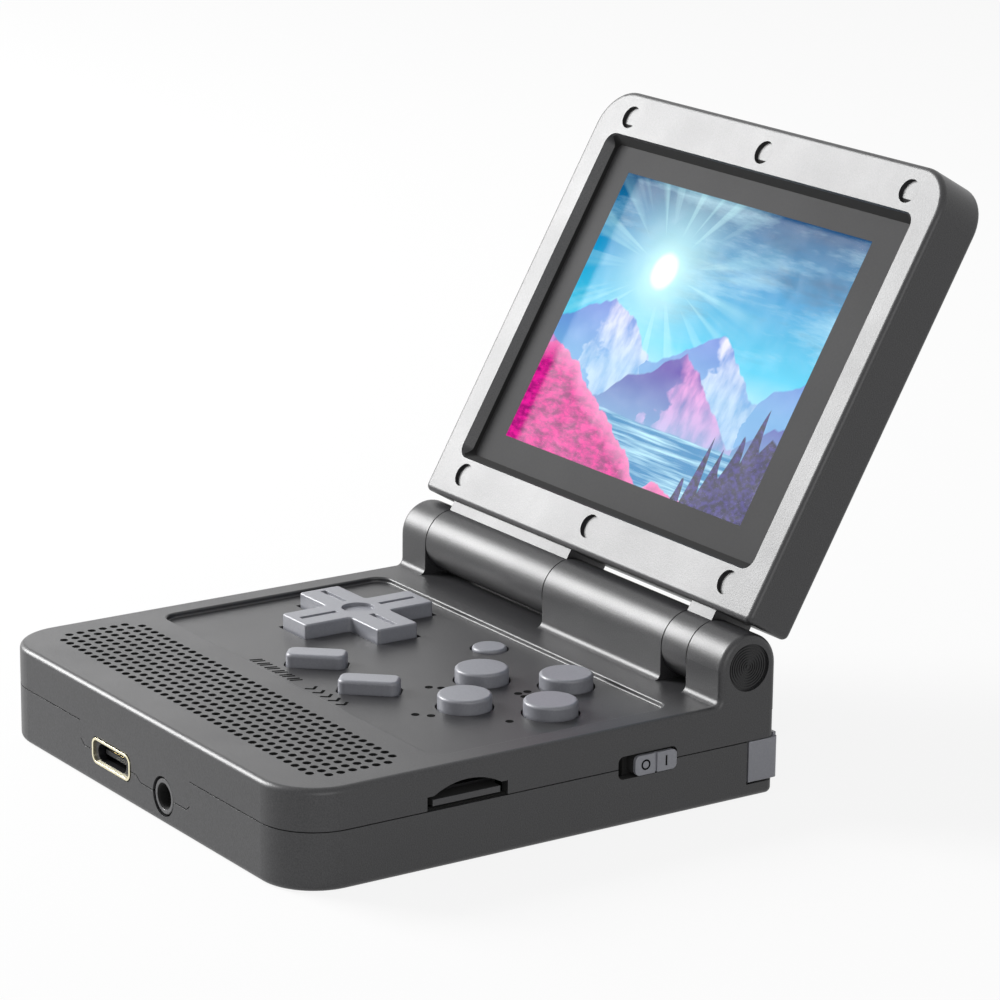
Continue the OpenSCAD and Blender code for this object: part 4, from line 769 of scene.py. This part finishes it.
def makeDome(name, centre, sizes, node):
    foot, top, height = sizes
    soft = domeLook["rounding"]
    drawn, rise = domeLook["skirt"]
    low = sheetTop - domeLook["sunk"]
    profile = [(0, low), (foot, low), (foot - drawn, sheetTop + rise), (top, height - soft),
               (top - soft * 0.3, height - soft * 0.3), (top - soft, height), (0, height)]
    shape = bmesh.new()
    verts = [shape.verts.new((centre[0] + radius, centre[1], z)) for radius, z in profile]
    edges = [shape.edges.new(pair) for pair in zip(verts, verts[1:])]
    bmesh.ops.spin(shape, geom=verts + edges, cent=(centre[0], centre[1], 0), axis=(0, 0, 1), angle=math.tau,
                   steps=28, use_merge=True)
    bmesh.ops.remove_doubles(shape, verts=shape.verts[:], dist=1e-7)
    for face in shape.faces:
        face.smooth = abs(face.normal.z) < 0.95
    dome = placePiece(shape, name, "base", finishes["siliconeGrey"])
    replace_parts(dome, node)
    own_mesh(dome)


makeSheets()
for name, spot in keySpots.items():
    makeDome(name.replace("key", "dome"), spot, domeLook["keyDome"],
             "key_rubber_pad")
for name, spot in zip(("select", "start"), optionPlaces):
    makeDome(name + "_dome", spot, domeLook["optionDome"],
             "option_rubber_pad")
for name, turn, joint in (("east", 0, "dpad_left_right"), ("north", 1, "dpad_up_down"),
                          ("west", 2, "dpad_left_right"), ("south", 3, "dpad_up_down")):
    spot = (padPlace[0] + domeLook["padReach"] * math.cos(turn * math.pi / 2),
            padPlace[1] + domeLook["padReach"] * math.sin(turn * math.pi / 2))
    makeDome("dpad_dome_" + name, spot, domeLook["padDome"], "dpad_rubber_pad")
print("silicone made")


# cut foam: the new piece's name, its body, and how far its edges are rounded
foamLook = {
    "lcd_foam_pad": ("lcd_foam_sheet", "lid", 0.08 * mm),
    "speaker_gaskets": ("speaker_rings", "base", 0.12 * mm),
}


def makeFoam(node, name, body, rounding):
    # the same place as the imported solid, with the soft edges that cut foam has
    shape = bmesh.new()
    shape.from_mesh(nodes[node].data)
    bmesh.ops.transform(shape, matrix=nodes[node].matrix_world, verts=shape.verts[:])
    bmesh.ops.remove_doubles(shape, verts=shape.verts[:], dist=1e-6)
    bmesh.ops.dissolve_limit(shape, angle_limit=math.radians(2), verts=shape.verts[:], edges=shape.edges[:])
    sharp = [edge for edge in shape.edges if edge.calc_face_angle(0.0) > math.radians(40)]
    bmesh.ops.bevel(shape, geom=sharp, offset=rounding, offset_type="OFFSET", affect="EDGES", segments=3,
                    profile=0.5, material=-1, clamp_overlap=True)
    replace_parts(placePiece(shape, name, body, finishes["foamBlack"]), node)


for node, settings in foamLook.items():
    makeFoam(node, *settings)
print("foam made")


# torsion springs on the pins of the shoulder buttons; one leg moves with its button
springLook = {
    "pin": (39.6 * mm, 37.5 * mm),
    "low": 4.75 * mm,
    "high": 6.15 * mm,
    "turns": 3.5,
    "stepsPerTurn": 20,
    "radius": 1.13 * mm,
    "wire": 0.19 * mm,
    "legStart": 0.4 * mm,  # where a leg leaves the coil, across from the pin
    "legEnd": 4.1 * mm,
    "legPlace": 0.95 * mm,  # before or behind the pin
}


def addWire(shape, points, radius, sides=8):
    # a round wire along a path, closed at both ends
    rings = []
    for count, point in enumerate(points):
        ahead = points[min(count + 1, len(points) - 1)] - points[max(count - 1, 0)]
        side = ahead.cross(Vector((0, 0, 1))).normalized()
        rise = side.cross(ahead).normalized()
        rings.append([shape.verts.new(point + radius * (side * math.cos(math.tau * step / sides)
                                                        + rise * math.sin(math.tau * step / sides)))
                      for step in range(sides)])
    for first, second in zip(rings, rings[1:]):
        for step in range(sides):
            after = (step + 1) % sides
            face = shape.faces.new((first[step], first[after], second[after], second[step]))
            face.smooth = True
    shape.faces.new(rings[0])
    shape.faces.new(rings[-1])


def makeSpring(label, side):
    look = springLook

    def placed(x, y, z):
        return Vector((side * (look["pin"][0] + x), look["pin"][1] + y, z))

    steps = int(look["turns"] * look["stepsPerTurn"])
    path = [placed(-look["legEnd"], -look["legPlace"], look["high"]),
            placed(-look["legStart"], -look["legPlace"], look["high"])]
    for step in range(1, steps + 1):
        turn = -math.pi / 2 + look["turns"] * math.tau * step / steps
        height = look["high"] + (look["low"] - look["high"]) * step / steps
        path.append(placed(look["radius"] * math.cos(turn), look["radius"] * math.sin(turn), height))
    leg = [placed(-look["legEnd"], look["legPlace"], look["low"]),
           placed(-look["legStart"], look["legPlace"], look["low"]),
           placed(0, look["radius"], look["low"])]
    for name, body, points in (("_spring_coil", "base", path), ("_spring_leg", label + "_shoulder", leg)):
        shape = bmesh.new()
        addWire(shape, points, look["wire"])
        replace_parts(placePiece(shape, label + name, body, finishes["brightSteel"]),
                    "shoulder_springs")


makeSpring("left", -1)
makeSpring("right", 1)
print("springs made")


# a plain white table in an even room, a broad soft light from the left, a small one from behind
# and a weak one that fills in from the right
stageLook = {
    "floorSize": 8.0,
    "paper": 0.9,
    "floorGlow": 0.88,  # share of plain white in the paper as the camera sees it
    "roomStrength": 0.24,
    "lampTarget": (0, 0, 0.03),
    "softboxes": {
        # direction from the target, distance, width and height, radiance
        "leftSoftbox": ((-0.788, -0.42, 0.45), 0.8, (0.36, 0.44), 20.5),
        "rearSoftbox": ((-0.88, 0.38, 0.26), 0.9, (0.2, 0.26), 1.2),
        "rightFill": ((1.0, -0.25, 0.25), 1.2, (0.8, 0.5), 2.2),
    },
}
# the camera, placed from the photograph's own perspective
cameraLook = {
    "place": (478.003 * mm, -303.116 * mm, 198.464 * mm),
    "right": (0.55684, 0.83056, 0.00972),
    "up": (-0.22807, 0.14163, 0.96329),
    "sensor": 36,
    "lens": 147.226,
    "shift": (0.00882, -0.00841),
    "clip": (0.05, 20),
}


def seenDirectly(tree):
    # 1 for what the camera sees itself, in a gloss or through glass
    ray = addNode(tree, "ShaderNodeLightPath")
    seen = calc(tree, "MAXIMUM", ray.outputs["Is Camera Ray"], ray.outputs["Is Glossy Ray"])
    return calc(tree, "MAXIMUM", seen, ray.outputs["Is Transmission Ray"])


def makeFloor():
    shape = bmesh.new()
    bmesh.ops.create_grid(shape, x_segments=1, y_segments=1, size=stageLook["floorSize"] / 2)
    mesh = bpy.data.meshes.new("floor")
    shape.to_mesh(mesh)
    shape.free()
    floor = bpy.data.objects.new("floor", mesh)
    scene.collection.objects.link(floor)
    made, tree, skin = startMaterial("floorPaper")
    skin.inputs["Base Color"].default_value = (stageLook["paper"],) * 3 + (1,)
    skin.inputs["Roughness"].default_value = 0.9
    skin.inputs["Specular IOR Level"].default_value = 0.0
    glow = addNode(tree, "ShaderNodeEmission")
    mix = addNode(tree, "ShaderNodeMixShader")
    feed(tree, mix.inputs[0], calc(tree, "MULTIPLY", seenDirectly(tree), stageLook["floorGlow"]))
    tree.links.new(skin.outputs[0], mix.inputs[1])
    tree.links.new(glow.outputs[0], mix.inputs[2])
    tree.links.new(mix.outputs[0], tree.nodes["Material Output"].inputs["Surface"])
    mesh.materials.append(made)


def makeWorld():
    world = bpy.data.worlds.new("studio")
    world.use_nodes = True
    tree = world.node_tree
    room = tree.nodes["Background"]
    room.inputs["Color"].default_value = (1, 1, 1, 1)
    room.inputs["Strength"].default_value = stageLook["roomStrength"]
    white = addNode(tree, "ShaderNodeBackground")
    white.inputs["Color"].default_value = (1, 1, 1, 1)
    mix = addNode(tree, "ShaderNodeMixShader")
    feed(tree, mix.inputs[0], seenDirectly(tree))
    tree.links.new(room.outputs[0], mix.inputs[1])
    tree.links.new(white.outputs[0], mix.inputs[2])
    tree.links.new(mix.outputs[0], tree.nodes["World Output"].inputs["Surface"])
    scene.world = world


def makeSoftbox(name, direction, distance, size, radiance):
    lamp = bpy.data.lights.new(name, "AREA")
    lamp.shape = "RECTANGLE"
    lamp.size, lamp.size_y = size
    lamp.energy = radiance * math.pi * size[0] * size[1]
    box = bpy.data.objects.new(name, lamp)
    scene.collection.objects.link(box)
    target = Vector(stageLook["lampTarget"])
    box.location = target + Vector(direction).normalized() * distance
    box.rotation_mode = "QUATERNION"
    box.rotation_quaternion = (target - box.location).to_track_quat("-Z", "Y")


def makeCamera():
    look = cameraLook
    view = bpy.data.cameras.new("camera")
    camera = bpy.data.objects.new("camera", view)
    scene.collection.objects.link(camera)
    view.sensor_width = look["sensor"]
    view.lens = look["lens"]
    view.shift_x, view.shift_y = look["shift"]
    view.clip_start, view.clip_end = look["clip"]
    right = Vector(look["right"]).normalized()
    up = Vector(look["up"]).normalized()
    turn = Matrix((right, up, right.cross(up))).transposed().to_4x4()
    camera.matrix_world = Matrix.Translation(Vector(look["place"])) @ turn
    scene.camera = camera


makeFloor()
makeWorld()
for name, settings in stageLook["softboxes"].items():
    makeSoftbox(name, *settings)
makeCamera()
scene.view_settings.view_transform = "Standard"
print("stage set")
